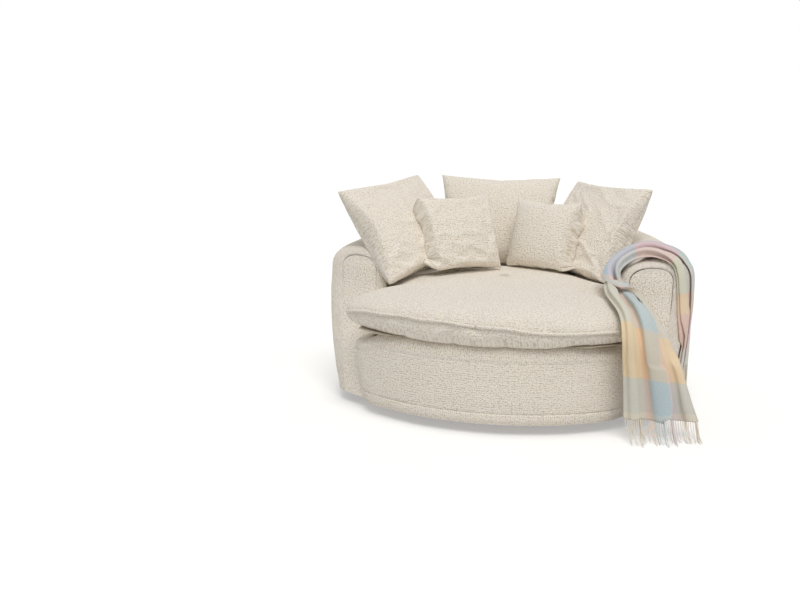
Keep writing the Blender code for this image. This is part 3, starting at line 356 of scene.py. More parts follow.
# %% Turn a sheet's faces the right way and give it thickness
def face_towards(piece, outside):
    """Flip a sheet if its faces look away from where outside(point) says is out."""
    votes = sum(p.normal.dot(outside(p.center)) * p.area for p in piece.data.polygons)
    if votes < 0:
        piece.data.flip_normals()


def thicken(piece, thickness):
    step = piece.modifiers.new("cloth_thickness", "SOLIDIFY")
    step.thickness = thickness
    step.offset = -1.0
    step.use_rim = True


def lerp(a, b, share):
    return a + (b - a) * share


def smooth(share):
    share = min(1.0, max(0.0, share))
    return share * share * (3.0 - 2.0 * share)


# %% [markdown]
# ## Plan and section of the arm and back
# One padded wall runs from the right arm round the back to the left arm. Its outside is a
# circle at the back that turns into a flatter ellipse at the sides. At every step along it
# stands the same kind of section: two upright sides and a rounded top. A section through the
# wall is easier to get right than the whole form, and a row of sections makes the form.

# %% The wall's plan
BACK_RADIUS = 0.716
INSIDE_RADIUS = 0.50
SIDE_DEPTH = 0.594
ARM_INNER = Vector((0.457, -0.163))
ARM_SKEW = math.radians(6.2)
ARM_DRAW = 0.045
RAKE = math.tan(math.radians(10.0))
RAKE_LEVEL = 0.32
ARM_HEIGHT, BACK_HEIGHT = 0.595, 0.68
SKIRT, DECK = 0.042, 0.335


def side_point(angle):
    depth = BACK_RADIUS if angle >= 0 else SIDE_DEPTH
    return Vector((BACK_RADIUS * math.cos(angle), depth * math.sin(angle)))


def inner_point(angle):
    return Vector((math.cos(angle), math.sin(angle))) * INSIDE_RADIUS


def wall_height(angle):
    return lerp(ARM_HEIGHT, BACK_HEIGHT, math.sin(max(angle, 0.0)) ** 2)


arm_outer = side_point(-ARM_SKEW)
arm_across = (arm_outer - ARM_INNER).normalized()
arm_forward = Vector((arm_across.y, -arm_across.x))
print("the right arm's front faces", [round(c, 2) for c in arm_forward])

# %% One section of the wall
ARCH_RISE, ARCH_POWER = 0.085, 2.3
BELLY_LEVEL, BELLY_TUCK, BELLY_POWER = 0.42, 0.041, 1.5
FOOT_REACH, FOOT_LEVEL = 0.11, 0.45
SIDE_STEPS, ARCH_STEPS = 30, 28


def arch_points(half, rise, shoulder):
    """Distance from the middle and height of each point of the rounded top, left to right."""
    run = []
    for k in range(ARCH_STEPS + 1):
        turn = math.pi * (1 - k / ARCH_STEPS)
        along, up = math.cos(turn), math.sin(turn)
        run.append((math.copysign(half * abs(along) ** (2 / ARCH_POWER), along),
                    shoulder + rise * max(up, 0.0) ** (2 / ARCH_POWER)))
    return run


def section_shape(half, rise, shoulder, inner_foot):
    """The same for a whole section, from the inner foot over the top to the outer foot."""
    run = [(-half, lerp(inner_foot, shoulder, k / SIDE_STEPS)) for k in range(SIDE_STEPS)]
    run += arch_points(half, rise, shoulder)
    for k in range(SIDE_STEPS - 1, -1, -1):
        z = lerp(SKIRT, shoulder, k / SIDE_STEPS)
        low = max(0.0, (BELLY_LEVEL - z) / (BELLY_LEVEL - SKIRT))
        run.append((half - BELLY_TUCK * low ** BELLY_POWER, z))
    return run


def side_x(y):
    """Half the width of the wall's outer line at a place in front of the middle."""
    return BACK_RADIUS * math.sqrt(max(0.0, 1 - (min(y, 0.0) / SIDE_DEPTH) ** 2))


def leaned(plan, z, share):
    """A plan point of the arm's front moved forward low down, and inward along the outline."""
    low = max(0.0, (FOOT_LEVEL - z) / (FOOT_LEVEL - SKIRT))
    y = plan.y + share * (RAKE * (z - RAKE_LEVEL) - FOOT_REACH * low ** 1.3)
    outer_share = smooth((abs(plan.x) - ARM_INNER.x) / (BACK_RADIUS - ARM_INNER.x))
    x = abs(plan.x) - outer_share * (side_x(plan.y) - side_x(y))
    return Vector((math.copysign(x, plan.x), y, z))


def section(inner, outer, height, rake=0.0, inset=0.0, inner_foot=SKIRT):
    across = (outer - inner).normalized()
    middle = (outer + inner) / 2
    half = (outer - inner).length / 2 - inset
    shape = section_shape(half, ARCH_RISE - inset, height - ARCH_RISE, inner_foot)
    return [leaned(middle + across * along, z, rake) for along, z in shape]


# %% [markdown]
# ## The cover of the arm and back
# The real cover is sewn from long panels of boucle over foam. It is drawn here as a row of
# sections close enough together that the rounding reads as cloth over foam. The front of each
# arm rolls over a small radius and then dips into the seam round its face. Two upright seams
# divide the back, where such a cover has to be joined.

# %% Sections from the right arm's front to the middle of the back
ARM_ROUND = 0.030
SEAM_DIP = 0.0030
BOARD_LEVEL = 0.0645


def front_section(reach, inset, drawn):
    """A section in front of the arm's corners; its outer side has drawn in by some length."""
    outer = arm_outer - arm_across * drawn
    return section(ARM_INNER + arm_forward * reach, outer + arm_forward * reach, ARM_HEIGHT,
                   1.0, inset)


def right_sections():
    rings = [front_section(ARM_ROUND - SEAM_DIP, ARM_ROUND + 0.0015, ARM_DRAW),
             front_section(ARM_ROUND - 0.001, ARM_ROUND, ARM_DRAW)]
    for k in range(1, 10):
        turn = math.radians(90 - 10 * k)
        round_in = 1 - math.cos(turn)
        rings.append(front_section(ARM_ROUND * math.sin(turn), ARM_ROUND * round_in,
                                   ARM_DRAW * round_in))
    for k in range(1, 12):
        share = k / 12
        rings.append(section(lerp(ARM_INNER, inner_point(0.0), share),
                             side_point(-ARM_SKEW * (1 - share)), ARM_HEIGHT,
                             1 - smooth(share), 0.0, lerp(SKIRT, BOARD_LEVEL, smooth(share * 4))))
    for degrees in np.arange(0.0, 90.1, 1.25):
        angle = math.radians(degrees)
        rings.append(section(inner_point(angle), side_point(angle), wall_height(angle),
                             0.0, 0.0, BOARD_LEVEL))
    return rings


def mirrored(rings):
    return [[Vector((-p.x, p.y, p.z)) for p in ring] for ring in rings]


right_half = right_sections()
wall_rings = right_half + mirrored(right_half[:-1])[::-1]
print("wall sections", len(wall_rings), "of", len(wall_rings[0]), "points")


# %% Metres along and across a grid of points
def grid_lengths(grid):
    """For each point, its distance along the rows and across them, both in metres."""
    rows, columns = len(grid), len(grid[0])
    middle = columns // 2
    along, weave = 0.0, []
    for i in range(rows):
        if i:
            along += (grid[i][middle] - grid[i - 1][middle]).length
        across = 0.0
        for j in range(columns):
            if j:
                across += (grid[i][j] - grid[i][j - 1]).length
            weave.append((along, across, 0.0))
    return weave


# %% Let the cloth lie a little unevenly, and sink the back's two seams
def uneven(place, size, amount):
    return amount * noise.noise(place / size)


def press_in(piece, depth_at):
    """Move each point inward along its normal by what depth_at says."""
    moves = [(v, v.normal * depth_at(v.co)) for v in piece.data.vertices]
    for vertex, move in moves:
        vertex.co -= move
    piece.data.update()


BACK_SEAM = math.radians(52)
BACK_SEAM_DEPTH, BACK_SEAM_WIDTH = 0.004, 0.005
WALL_MIDDLE = 0.60


def wall_depth(place):
    angle = math.atan2(place.y, abs(place.x))
    off_seam = (angle - BACK_SEAM) * BACK_RADIUS
    outside = smooth((place.xy.length - WALL_MIDDLE) / 0.03)
    seam = BACK_SEAM_DEPTH * math.exp(-(off_seam / BACK_SEAM_WIDTH) ** 2) * outside
    return seam - uneven(place, 0.16, 0.0035) - uneven(place, 0.05, 0.0012)


wall = grid_piece("arm_back_upholstery", wall_rings, grid_lengths(wall_rings), BOUCLE, "frame",
                  "boucle", ["arm_back_cover", "arm_back_foam"])


def out_of_wall(place):
    flat = Vector((place.x, max(place.y, 0.0), 0.0))
    core = flat.normalized() * WALL_MIDDLE if flat.length > 1e-6 else flat
    core.y = min(place.y, 0.0) or core.y
    return place - Vector((core.x, core.y, min(place.z, 0.45)))


face_towards(wall, out_of_wall)
press_in(wall, wall_depth)
print("arm and back", len(wall.data.polygons), "faces")

# %% [markdown]
# ## The arm faces
# Each arm ends in a flat face with a round top, sewn into the cover with a stitched seam that
# runs about 3 cm inside its outline. The face is a grid of level rows from the floor edge to
# the top, puffed a little in the middle by its padding and dipping into the seam at its edge.

# %% Level rows across a face
FACE_COLUMNS = 26
FACE_INSET = ARM_ROUND + 0.0022
FACE_PUFF, NARROWEST = 0.004, 0.0004


def face_rows(half, rise, shoulder):
    """Height and half width of each row."""
    rows = [(lerp(SKIRT, shoulder, k / SIDE_STEPS), half) for k in range(SIDE_STEPS)]
    left_half = arch_points(half, rise, shoulder)[:ARCH_STEPS // 2 + 1]
    return rows + [(z, max(-along, NARROWEST)) for along, z in left_half]


def face_grid():
    outer = arm_outer - arm_across * ARM_DRAW
    middle = (ARM_INNER + outer) / 2
    half = (outer - ARM_INNER).length / 2 - FACE_INSET
    shoulder, rise = ARM_HEIGHT - ARCH_RISE, ARCH_RISE - FACE_INSET
    grid = []
    for z, width in face_rows(half, rise, shoulder):
        row = []
        for k in range(FACE_COLUMNS + 1):
            share = math.sin(math.pi / 2 * (2 * k / FACE_COLUMNS - 1))
            along = width * share
            bulk = (abs(along) / half) ** ARCH_POWER + (max(0.0, z - shoulder) / rise) ** ARCH_POWER
            edge = (1 - min(1.0, bulk) ** (1 / ARCH_POWER)) * min(half, rise * 1.4)
            reach = ARM_ROUND - SEAM_DIP + SEAM_DIP * (1 - math.exp(-edge / 0.003))
            reach += FACE_PUFF * smooth(edge / 0.05)
            row.append(leaned(middle + arm_across * along + arm_forward * reach, z, 1.0))
        grid.append(row)
    return grid


# %% Sew in both faces
def sew_face(side, grid):
    heights = [p.z for row in grid for p in row]
    weave = [(z, across, 0.0) for z, (_, across, _) in zip(heights, grid_lengths(grid))]
    face = grid_piece("arm_face_" + side, grid, weave, BOUCLE, "frame", "boucle",
                      ["arm_front_panel_" + side, "arm_front_pad_" + side])
    face_towards(face, lambda place: Vector((0.0, -1.0, 0.0)))
    press_in(face, lambda place: -uneven(place, 0.07, 0.0015))
    return face


right_face = sew_face("right", face_grid())
sew_face("left", mirrored(face_grid()))
print("each arm face has", len(right_face.data.polygons), "faces")

# %% [markdown]
# ## The bowed front
# The front of the base is a bowed panel with two seams: one near the floor and one below the
# rounded shoulder that carries the seat cushion. Between the seams the rows of the weave lie
# level, above and below them they stand upright, because those bands are cut the other way.

# %% The front's line in plan
FRONT_REACH, FRONT_HALF, FRONT_CORNER = 0.553, 0.545, 0.060
FRONT_END = -0.150


def front_y(x):
    return -FRONT_REACH * math.sqrt(1 - (x / (BACK_RADIUS - BELLY_TUCK)) ** 2)


def front_line():
    start_x = FRONT_HALF - FRONT_CORNER
    corner = Vector((FRONT_HALF, front_y(FRONT_HALF)))
    start = Vector((start_x, front_y(start_x)))
    finish = corner + Vector((0.0, FRONT_CORNER))
    right = [Vector((x, front_y(x))) for x in np.linspace(0.0, start_x, 44)[:-1]]
    for share in np.linspace(0.0, 1.0, 13):
        right.append(lerp(lerp(start, corner, share), lerp(corner, finish, share), share))
    for y in np.linspace(finish.y, FRONT_END, 12)[1:]:
        right.append(Vector((FRONT_HALF, y)))
    return [Vector((-p.x, p.y)) for p in reversed(right[1:])] + right


# %% The front's profile from the floor edge up and over the shoulder
SEAM_LOW, SEAM_HIGH, LIP = 0.083, 0.271, 0.060
FALL, FALL_RIGHT, FALL_FROM, FALL_LEVEL = 0.060, 0.028, 0.38, 0.18
END_TAPER = 0.040
LIP_ROWS = ((0.068, 0.001), (0.076, 0.004), (0.080, 0.014))


def profile_levels():
    levels = set(np.round(np.linspace(SKIRT, SEAM_HIGH, 30), 4))
    for seam in (SEAM_LOW, SEAM_HIGH):
        levels |= {round(seam + step, 4) for step in (-.007, -.0045, -.0025, -.001, 0, .001, .0025)}
    return sorted(level for level in levels if level <= SEAM_HIGH)


def front_profile():
    """Inset and height of each point, with the padding's bulge between the seams."""
    run = []
    for z in profile_levels():
        band = SEAM_HIGH - SEAM_LOW if z > SEAM_LOW else SEAM_LOW - SKIRT
        from_seam = min(abs(z - SEAM_LOW), abs(z - SEAM_HIGH))
        bulge = -0.003 * smooth(from_seam / 0.05) if band > 0.1 else 0.0
        groove = SEAM_DIP * math.exp(-(from_seam / 0.0022) ** 2)
        hem = 0.006 * smooth((0.060 - z) / (0.060 - SKIRT))
        run.append((bulge + groove + hem, z))
    rise = DECK - SEAM_HIGH
    for k in range(1, 19):
        turn = math.pi / 2 * k / 18
        inset = LIP * (1 - max(math.cos(turn), 0.0) ** (2 / ARCH_POWER))
        groove = SEAM_DIP * math.exp(-(rise * math.sin(turn) / 0.0030) ** 2)
        run.append((inset + groove, SEAM_HIGH + rise * math.sin(turn) ** (2 / ARCH_POWER)))
    return run


def tapered(plan, z):
    """The front's two ends draw in towards the floor, along the bowed line."""
    low = max(0.0, (SEAM_HIGH - z) / (SEAM_HIGH - SKIRT))
    pull = END_TAPER * low ** 1.2 * smooth((abs(plan.x) - FALL_FROM) / (FRONT_HALF - FALL_FROM))
    return Vector((plan.x - math.copysign(pull, plan.x), plan.y - 0.85 * pull))


def front_fall(x, z):
    """The padding has sunk at the front's ends, at the left one more than at the right one."""
    share = smooth((abs(x) - FALL_FROM) / (FRONT_HALF - FALL_FROM))
    reach = max(0.0, (z - FALL_LEVEL) / (DECK - FALL_LEVEL))
    return (FALL if x < 0 else FALL_RIGHT) * share * min(1.0, reach)


# %% Build the front's cover
def front_grid():
    line = front_line()
    grid = []
    for k, place in enumerate(line):
        ahead = (line[min(k + 1, len(line) - 1)] - line[max(k - 1, 0)]).normalized()
        inward = Vector((-ahead.y, ahead.x))
        centre = -place.normalized()
        lean = max(0.75, inward.dot(centre))
        row = []
        for inset, z in front_profile():
            plan = tapered(place + centre * (inset / lean), z)
            row.append(Vector((plan.x, plan.y, z - front_fall(place.x, z))))
        for inset, drop in LIP_ROWS:
            plan = place + centre * (inset / lean)
            row.append(Vector((plan.x, plan.y, DECK - drop - front_fall(place.x, DECK))))
        grid.append(row)
    return grid


front = front_grid()
front_weave = []
row_levels = [z for _, z in front_profile()] + [DECK] * len(LIP_ROWS)
for (along, across, _), z in zip(grid_lengths(front), row_levels * len(front)):
    level = SEAM_LOW < z < SEAM_HIGH
    front_weave.append((along, across, 0.0) if level else (across, along, 0.3))
base_front = grid_piece("base_front_upholstery", front, front_weave, RIBBED, "frame", "boucle",
                        ["apron_cover", "apron_foam"])
face_towards(base_front, lambda place: Vector((place.x, place.y, 0.0)))
press_in(base_front, lambda place: -uneven(place, 0.12, 0.0025) - uneven(place, 0.03, 0.0008))
print("bowed front", len(base_front.data.polygons), "faces")

# %% [markdown]
# ## The seat cushion
# The seat is one big soft cushion, crowned in the middle, with a piped seam round its widest
# line. It is drawn as rings that shrink from the seam to the crown and to the middle of the
# underside. A cloth simulation then fills it with air for a few frames, which is what gives
# real cushions their slack, uneven surface. The points may move only a little, so that the
# cushion keeps the outline that the drawing gave it.

# %% The seat's outline
SEAT_NOSE = FRONT_REACH + 0.030
SEAT_TIP = Vector((0.550, -0.360))
SEAT_RIM, SEAT_CROWN = 0.405, 0.492
PIPING = 0.0060
SEAT_GAP, DECK_GAP = 0.0204, 0.0008


def spline_point(a, b, c, d, t):
    """A point between b and c, on a smooth line that also runs through a and d."""
    return 0.5 * (2 * b + (c - a) * t + (2 * a - 5 * b + 4 * c - d) * t * t
                  + (3 * b - a - 3 * c + d) * t ** 3)


def closed_spline(points, count):
    """Points at equal steps along a smooth closed line through the given ones."""
    fine = []
    for k in range(len(points)):
        near = [points[(k + m) % len(points)] for m in (-1, 0, 1, 2)]
        fine += [spline_point(*near, step / 12) for step in range(12)]
    lengths = [0.0]
    for a, b in zip(fine, fine[1:] + fine[:1]):
        lengths.append(lengths[-1] + (b - a).length)
    even = []
    for k in range(count):
        goal = lengths[-1] * k / count
        at = max(i for i in range(len(fine)) if lengths[i] <= goal)
        share = (goal - lengths[at]) / (lengths[at + 1] - lengths[at])
        even.append(lerp(fine[at], fine[(at + 1) % len(fine)], share))
    return even


def seat_outline():
    half_width = SEAT_TIP.x / math.sqrt(1 - (SEAT_TIP.y / SEAT_NOSE) ** 2)
    right = [Vector((x, -SEAT_NOSE * math.sqrt(1 - (x / half_width) ** 2)))
             for x in (0.0, 0.13, 0.26, 0.38, 0.48)]
    waist = Vector((ARM_INNER.x - SEAT_GAP, -0.275))
    right.append(SEAT_TIP.copy())
    for share in (0.4, 0.72):
        right.append(lerp(SEAT_TIP, waist, share) + Vector((0.012, 0.0)) * (1 - share))
    right.append(waist)
    right.append(Vector((ARM_INNER.x - SEAT_GAP, ARM_INNER.y)))
    right += [inner_point(math.radians(a)) * (1 - SEAT_GAP / INSIDE_RADIUS)
              for a in range(0, 91, 15)]
    left = [Vector((-p.x, p.y)) for p in reversed(right[1:-1])]
    return right + left


SEAT_COLUMNS = 240
seat_line = closed_spline(seat_outline(), SEAT_COLUMNS)
print("seat outline", round(max(p.x for p in seat_line) * 2, 3), "m wide")


# %% Heights of the seat's rings
SEAT_PRESS, SEAT_SAG, SEAT_SLACK = 0.035, 0.012, 0.004
SEAT_STEPS = 26
RIM_X = (-0.56, -0.52, -0.44, -0.30, -0.10, 0.0, 0.10, 0.17, 0.24, 0.44, 0.52, 0.56)
RIM_Z = (0.386, 0.402, 0.417, 0.422, 0.421, 0.411, 0.411, 0.400, 0.392, 0.390, 0.385, 0.385)


def seat_dip(x, y):
    """How far the loose cushions press the seat down near the back."""
    return SEAT_PRESS * smooth((y + 0.05) / 0.2) * smooth((math.hypot(x, y) - 0.2) / 0.2)


def rim_height(place):
    """The piped seam rises and falls along the front and is level round the back."""
    front = float(np.interp(place.x, RIM_X, RIM_Z))
    return lerp(SEAT_RIM, front, smooth((-place.y - 0.20) / 0.15))


def seat_ring(share, top, shrink):
    ring = []
    for place in seat_line:
        rim = rim_height(place)
        if top:
            z = lerp(rim, SEAT_CROWN, (1 - share ** 3.2) ** 0.42)
            z -= seat_dip(place.x * share, place.y * share) * (1 - share ** 4) + shrink
        else:
            z = lerp(rim, DECK + DECK_GAP, (1 - share ** 18) ** 0.5) + shrink * (1 - share)
            z -= SEAT_SAG * smooth((share - 0.80) / 0.1) * smooth((-place.y - 0.30) / 0.15)
        ring.append(Vector((place.x * share, -0.03 + (place.y + 0.03) * share, z)))
    return ring


def seat_rings():
    """Drawn a little slack at the top and the underside, because the air fills it out."""
    shares = [math.sin(math.pi / 2 * k / SEAT_STEPS) for k in range(1, SEAT_STEPS + 1)]
    rings = [seat_ring(s, True, SEAT_SLACK if s < 1 else 0.0) for s in shares]
    return rings + [seat_ring(s, False, SEAT_SLACK) for s in reversed(shares[:-1])]


# %% Close rings into one skin
def closed_skin(rings):
    count = len(rings[0])
    points = [p for ring in rings for p in ring]
    faces = grid_faces(len(rings), count, closed=True)
    for start, ring in ((0, rings[0]), ((len(rings) - 1) * count, rings[-1])):
        faces += fan(start, count, len(points))
        points.append(sum(ring, Vector()) / count)
    return points, faces


def turn_outward(mesh):
    work = bmesh.new()
    work.from_mesh(mesh)
    bmesh.ops.recalc_face_normals(work, faces=work.faces)
    work.to_mesh(mesh)
    work.free()


seat_points, seat_faces = closed_skin(seat_rings())
seat = make_piece("seat_cushion_upholstery", seat_points, seat_faces,
                  [(p.x, p.y + p.z, p.z) for p in seat_points], BOUCLE, "seat_cushion", "boucle",
                  ["seat_cover", "seat_core"])
turn_outward(seat.data)
print("seat cushion", len(seat.data.polygons), "faces")

# %% [markdown]
# ## The scatter cushions
# Three large and two small cushions are plain knife-edge covers: two equal squares sewn edge to
# edge and filled. So they are made the same way here: two grids share their edge points, full in
# the middle and thin at the seam. The sides draw in, the corners stay out as ears, and short
# gathers run square to the seams. Air pressure in the cloth simulation then slackens the skin.

# %% Two sheets that share their edge
# For each one: width, height and thickness; then its middle, which way it faces, how far it
# leans back and how far it is rolled, the last three in degrees.
CUSHIONS = {
    "back_cushion_centre": ((0.525, 0.42, 0.160), ((-0.105, 0.412, 0.647), 7.8, 25.5, 0.9)),
    "back_cushion_left": ((0.45, 0.45, 0.165), ((-0.430, 0.030, 0.663), 53.6, 37.9, -6.6)),
    "back_cushion_right": ((0.445, 0.445, 0.160), ((0.314, 0.272, 0.639), -42.3, 32.5, -1.1)),
    "small_cushion_left": ((0.325, 0.320, 0.130), ((-0.198, 0.034, 0.648), 37.4, 21.1, -0.8)),
    "small_cushion_right": ((0.310, 0.305, 0.130), ((0.121, 0.190, 0.625), -24.1, 17.7, -0.4)),
}
CUSHION_CELL = 0.0070
SIDE_DRAW = 0.085


def cushion_sheets(width, height, thickness):
    """Points of both sheets about the middle, their faces and weave; X across, Z up."""
    across, up = round(width / CUSHION_CELL), round(height / CUSHION_CELL)
    index, points, faces, weave = {}, [], [], []
    for side in (-1, 1):
        for i in range(across + 1):
            for j in range(up + 1):
                on_rim = i in (0, across) or j in (0, up)
                if side > 0 and on_rim:
                    index[i, j, 1] = index[i, j, -1]
                    continue
                index[i, j, side] = len(points)
                u, v = 2 * i / across - 1, 2 * j / up - 1
                full = max(0.0, (1 - abs(u) ** 2.4) * (1 - abs(v) ** 2.4)) ** 0.42
                draw_u = 1 - SIDE_DRAW * (1 - abs(v) ** 1.6) * abs(u)
                draw_v = 1 - SIDE_DRAW * (1 - abs(u) ** 1.6) * abs(v)
                points.append(Vector((width / 2 * u * draw_u, side * thickness / 2 * full,
                                      height / 2 * v * draw_v)))
                weave.append((width / 2 * u, height / 2 * v, side * 0.5))
        for i in range(across):
            for j in range(up):
                face = [index[i + m, j + n, side] for m, n in ((0, 0), (1, 0), (1, 1), (0, 1))]
                faces.append(face if side < 0 else face[::-1])
    return points, faces, weave


GATHER_DEPTH, SLACK_DEPTH = 0.0025, 0.006


def pucker(place, width, height, name):
    """Short gathers square to the seams and slack folds near the lower corners."""
    off_side = max(0.0, width / 2 * 0.97 - abs(place.x))
    off_end = max(0.0, height / 2 * 0.97 - abs(place.z))
    phase = len(name) * 1.7 + (3.0 if place.y > 0 else 0.0)
    along_end = noise.noise(Vector((place.x / 0.016, phase, 0.0)))
    along_side = noise.noise(Vector((place.z / 0.016, phase + 9.0, 0.0)))
    gathers = (along_end * math.exp(-(off_end / 0.030)) * smooth(off_end / 0.008)
               + along_side * math.exp(-(off_side / 0.030)) * smooth(off_side / 0.008))
    corner = math.exp(-(off_side + off_end) / 0.07)
    low = smooth(0.5 - place.z / height)
    slack = noise.noise(Vector((place.x / 0.09, place.z / 0.026 + place.x / 0.05, phase)))
    return GATHER_DEPTH * gathers + SLACK_DEPTH * slack * (0.15 + corner) * (0.2 + 0.8 * low)


# %% Cut and sew all five
def cushion_place(middle, facing, lean, roll):
    return (Matrix.Translation(middle) @ Matrix.Rotation(math.radians(facing), 4, "Z")
            @ Matrix.Rotation(-math.radians(lean), 4, "X")
            @ Matrix.Rotation(math.radians(roll), 4, "Y"))


cushions = {}
for name, (size, _) in CUSHIONS.items():
    piece = make_piece(name + "_upholstery", *cushion_sheets(*size), BOUCLE, name, "boucle",
                       [name + "_cover", name + "_insert"])
    turn_outward(piece.data)
    press_in(piece, lambda place: pucker(place, *size[:2], name))
    cushions[name] = piece
    print(name, len(piece.data.polygons), "faces")

# %% [markdown]
# ## Filling the cushions with air
# Blender's cloth can hold a pressure inside a closed mesh. Gravity is off, because the shapes
# are drawn as they lie. All the cushions are filled in the same frames, to save time. The
# result is read back into each mesh, and no modifier stays on it.

# %% Inflate, then keep the result
FILL_FRAMES = 12
CUSHION_PRESSURE, CUSHION_REACH = 3.0, 0.011
SEAT_PRESSURE, SEAT_REACH = 2.0, 0.008


def add_air(piece, pressure):
    step = piece.modifiers.new("air", "CLOTH")
    cloth = step.settings
    cloth.use_pressure = True
    cloth.uniform_pressure_force = pressure
    cloth.effector_weights.gravity = 0.0
    cloth.quality = 6
    cloth.mass = 0.3
    cloth.tension_stiffness = cloth.compression_stiffness = 15.0
    cloth.shear_stiffness = 5.0
    cloth.bending_stiffness = 0.5
    cloth.air_damping = 6.0
    cloth.shrink_min = -0.035
    step.collision_settings.use_collision = False


def keep_result(piece, reach):
    """Read the simulated points back, each moved at most as far as reach allows."""
    evaluated = piece.evaluated_get(bpy.context.evaluated_depsgraph_get())
    ends = [v.co.copy() for v in evaluated.data.vertices]
    piece.modifiers.clear()
    for vertex, end in zip(piece.data.vertices, ends):
        move = end - vertex.co
        if move.length > reach:
            move *= reach / move.length
        vertex.co += move
    piece.data.update()


def fill(pieces, pressure, reach):
    for piece in pieces:
        add_air(piece, pressure)
    for number in range(1, FILL_FRAMES + 1):
        scene.frame_set(number)
    for piece in pieces:
        keep_result(piece, reach)


fill(cushions.values(), CUSHION_PRESSURE, CUSHION_REACH)
fill([seat], SEAT_PRESSURE, SEAT_REACH)
scene.frame_set(1)
print("cushions filled")


# %% Bring each cushion to its finished size and stand it in its place
def extent(piece, axis):
    values = [v.co[axis] for v in piece.data.vertices]
    return max(values) - min(values)


for name, ((width, height, thickness), pose) in CUSHIONS.items():
    piece = cushions[name]
    growth = [goal / extent(piece, axis) for axis, goal in enumerate((width, thickness, height))]
    for vertex in piece.data.vertices:
        x, y, z = (c * g for c, g in zip(vertex.co, growth))
        slump = 1.0 + 0.10 * smooth(0.5 - z / height) - 0.08 * smooth(0.5 + z / height)
        vertex.co = (x, y * slump, z)
    piece.data.transform(cushion_place(*pose))
    print(name, "grew by", [round(g, 2) for g in growth])

# %% [markdown]
# ## Contact
# Soft things flatten where they touch. After the filling, a point that has gone into a
# neighbour is moved back out to just above the neighbour's skin. Each cushion is tested only
# against what was there before it, in the order in which they are put on the chair.

# %% Push a piece out of its neighbours
class Neighbour:
    def __init__(self, piece):
        mesh = piece.data
        mesh.calc_loop_triangles()
        self.tree = BVHTree.FromPolygons([tuple(v.co) for v in mesh.vertices],
                                         [tuple(t.vertices) for t in mesh.loop_triangles])

    def cleared(self, place, gap, reach=0.06):
        near, normal, _, distance = self.tree.find_nearest(place, reach)
        if near is None or (place - near).dot(normal) >= gap:
            return place
        return near + normal * gap


def press_clear(piece, neighbours, gap, rounds=3):
    """Push out, even out what moved, and push out again; the last round only pushes."""
    for number in range(rounds):
        moved = []
        for vertex in piece.data.vertices:
            place = vertex.co.copy()
            for neighbour in neighbours:
                place = neighbour.cleared(place, gap)
            if (place - vertex.co).length > 1e-6:
                vertex.co = place
                moved.append(vertex.index)
        if moved and number + 1 < rounds:
            work = bmesh.new()
            work.from_mesh(piece.data)
            work.verts.ensure_lookup_table()
            for _ in range(6):
                bmesh.ops.smooth_vert(work, verts=[work.verts[i] for i in moved], factor=0.5,
                                      use_axis_x=True, use_axis_y=True, use_axis_z=True)
            work.to_mesh(piece.data)
            work.free()
    piece.data.update()
    return len(moved)


SKIN_GAP = 0.0012
wall_skin, front_skin = Neighbour(wall), Neighbour(base_front)
for vertex in seat.data.vertices:
    if vertex.co.y > LIP - FRONT_REACH:
        vertex.co.z = max(vertex.co.z, DECK + DECK_GAP)
press_clear(seat, [wall_skin, front_skin], SKIN_GAP)
seat_skin = Neighbour(seat)
in_the_way = [wall_skin, seat_skin]
for name, piece in cushions.items():
    print(name, "pressed at", press_clear(piece, in_the_way, SKIN_GAP), "points")
    in_the_way.append(Neighbour(piece))

# %% Round off the cushions
for piece in (*cushions.values(), seat):
    step = piece.modifiers.new("round_off", "SUBSURF")
    step.levels = step.render_levels = 1

# %% [markdown]
# ## The seat's piping
# A cord in a sleeve of boucle is sewn into the seat's widest seam. It follows the filled
# cushion and not the drawing, so each point of its line is first moved onto the skin. A tube
# swept along that line makes the cord.

# %% Sweep a tube along a closed or open line
def tube(path, radius, sides, closed):
    """Points, faces and weave of a round tube; radius is a number or a function of share."""
    count = len(path)
    points, weave, along = [], [], 0.0
    side = Vector((0.0, 0.0, 1.0))
    for k, here in enumerate(path):
        before = path[k - 1] if closed or k else here
        after = path[(k + 1) % count] if closed or k + 1 < count else here
        ahead = (after - before).normalized()
        side = (side - ahead * side.dot(ahead)).normalized()
        other = ahead.cross(side)
        size = radius(k / (count - 1)) if callable(radius) else radius
        along += (here - before).length if k else 0.0
        for m in range(sides):
            turn = 2 * math.pi * m / sides
            points.append(here + (side * math.cos(turn) + other * math.sin(turn)) * size)
            weave.append((along, size * turn, 0.0))
    faces = grid_faces(count, sides, closed=True)
    if closed:
        last = (count - 1) * sides
        faces += [(last + m, last + (m + 1) % sides, (m + 1) % sides, m) for m in range(sides)]
    else:
        faces += [tuple(range(sides)), tuple(range((count - 1) * sides, count * sides))]
    return points, faces, weave


CORD_STEPS, CORD_SIDES = 420, 10
cord = []
for place in closed_spline(seat_outline(), CORD_STEPS):
    start = Vector((place.x, place.y, rim_height(place)))
    near, normal, _, _ = seat_skin.tree.find_nearest(start)
    flat = Vector((normal.x, normal.y, 0.0)).normalized()
    cord.append(near + flat * PIPING * 0.85)
for _ in range(3):
    cord = [(a + b * 2 + c) / 4 for a, b, c in zip(cord[-1:] + cord, cord, cord[1:] + cord[:1])]
piping = make_piece("seat_piping_cord", *tube(cord, PIPING, CORD_SIDES, True), BOUCLE,
                    "seat_cushion", "boucle", ["seat_piping"])
turn_outward(piping.data)
print("piping", round(sum((b - a).length for a, b in zip(cord, cord[1:])), 2), "m")

# %% [markdown]
# ## The deck cloth and the cloth underneath
# Two thin sheets are seen only when the seat is taken off or the chair is turned over: the
# lining stretched over the sprung deck, and the black felt stapled under the base. Each is a
# fine grid trimmed to its outline.

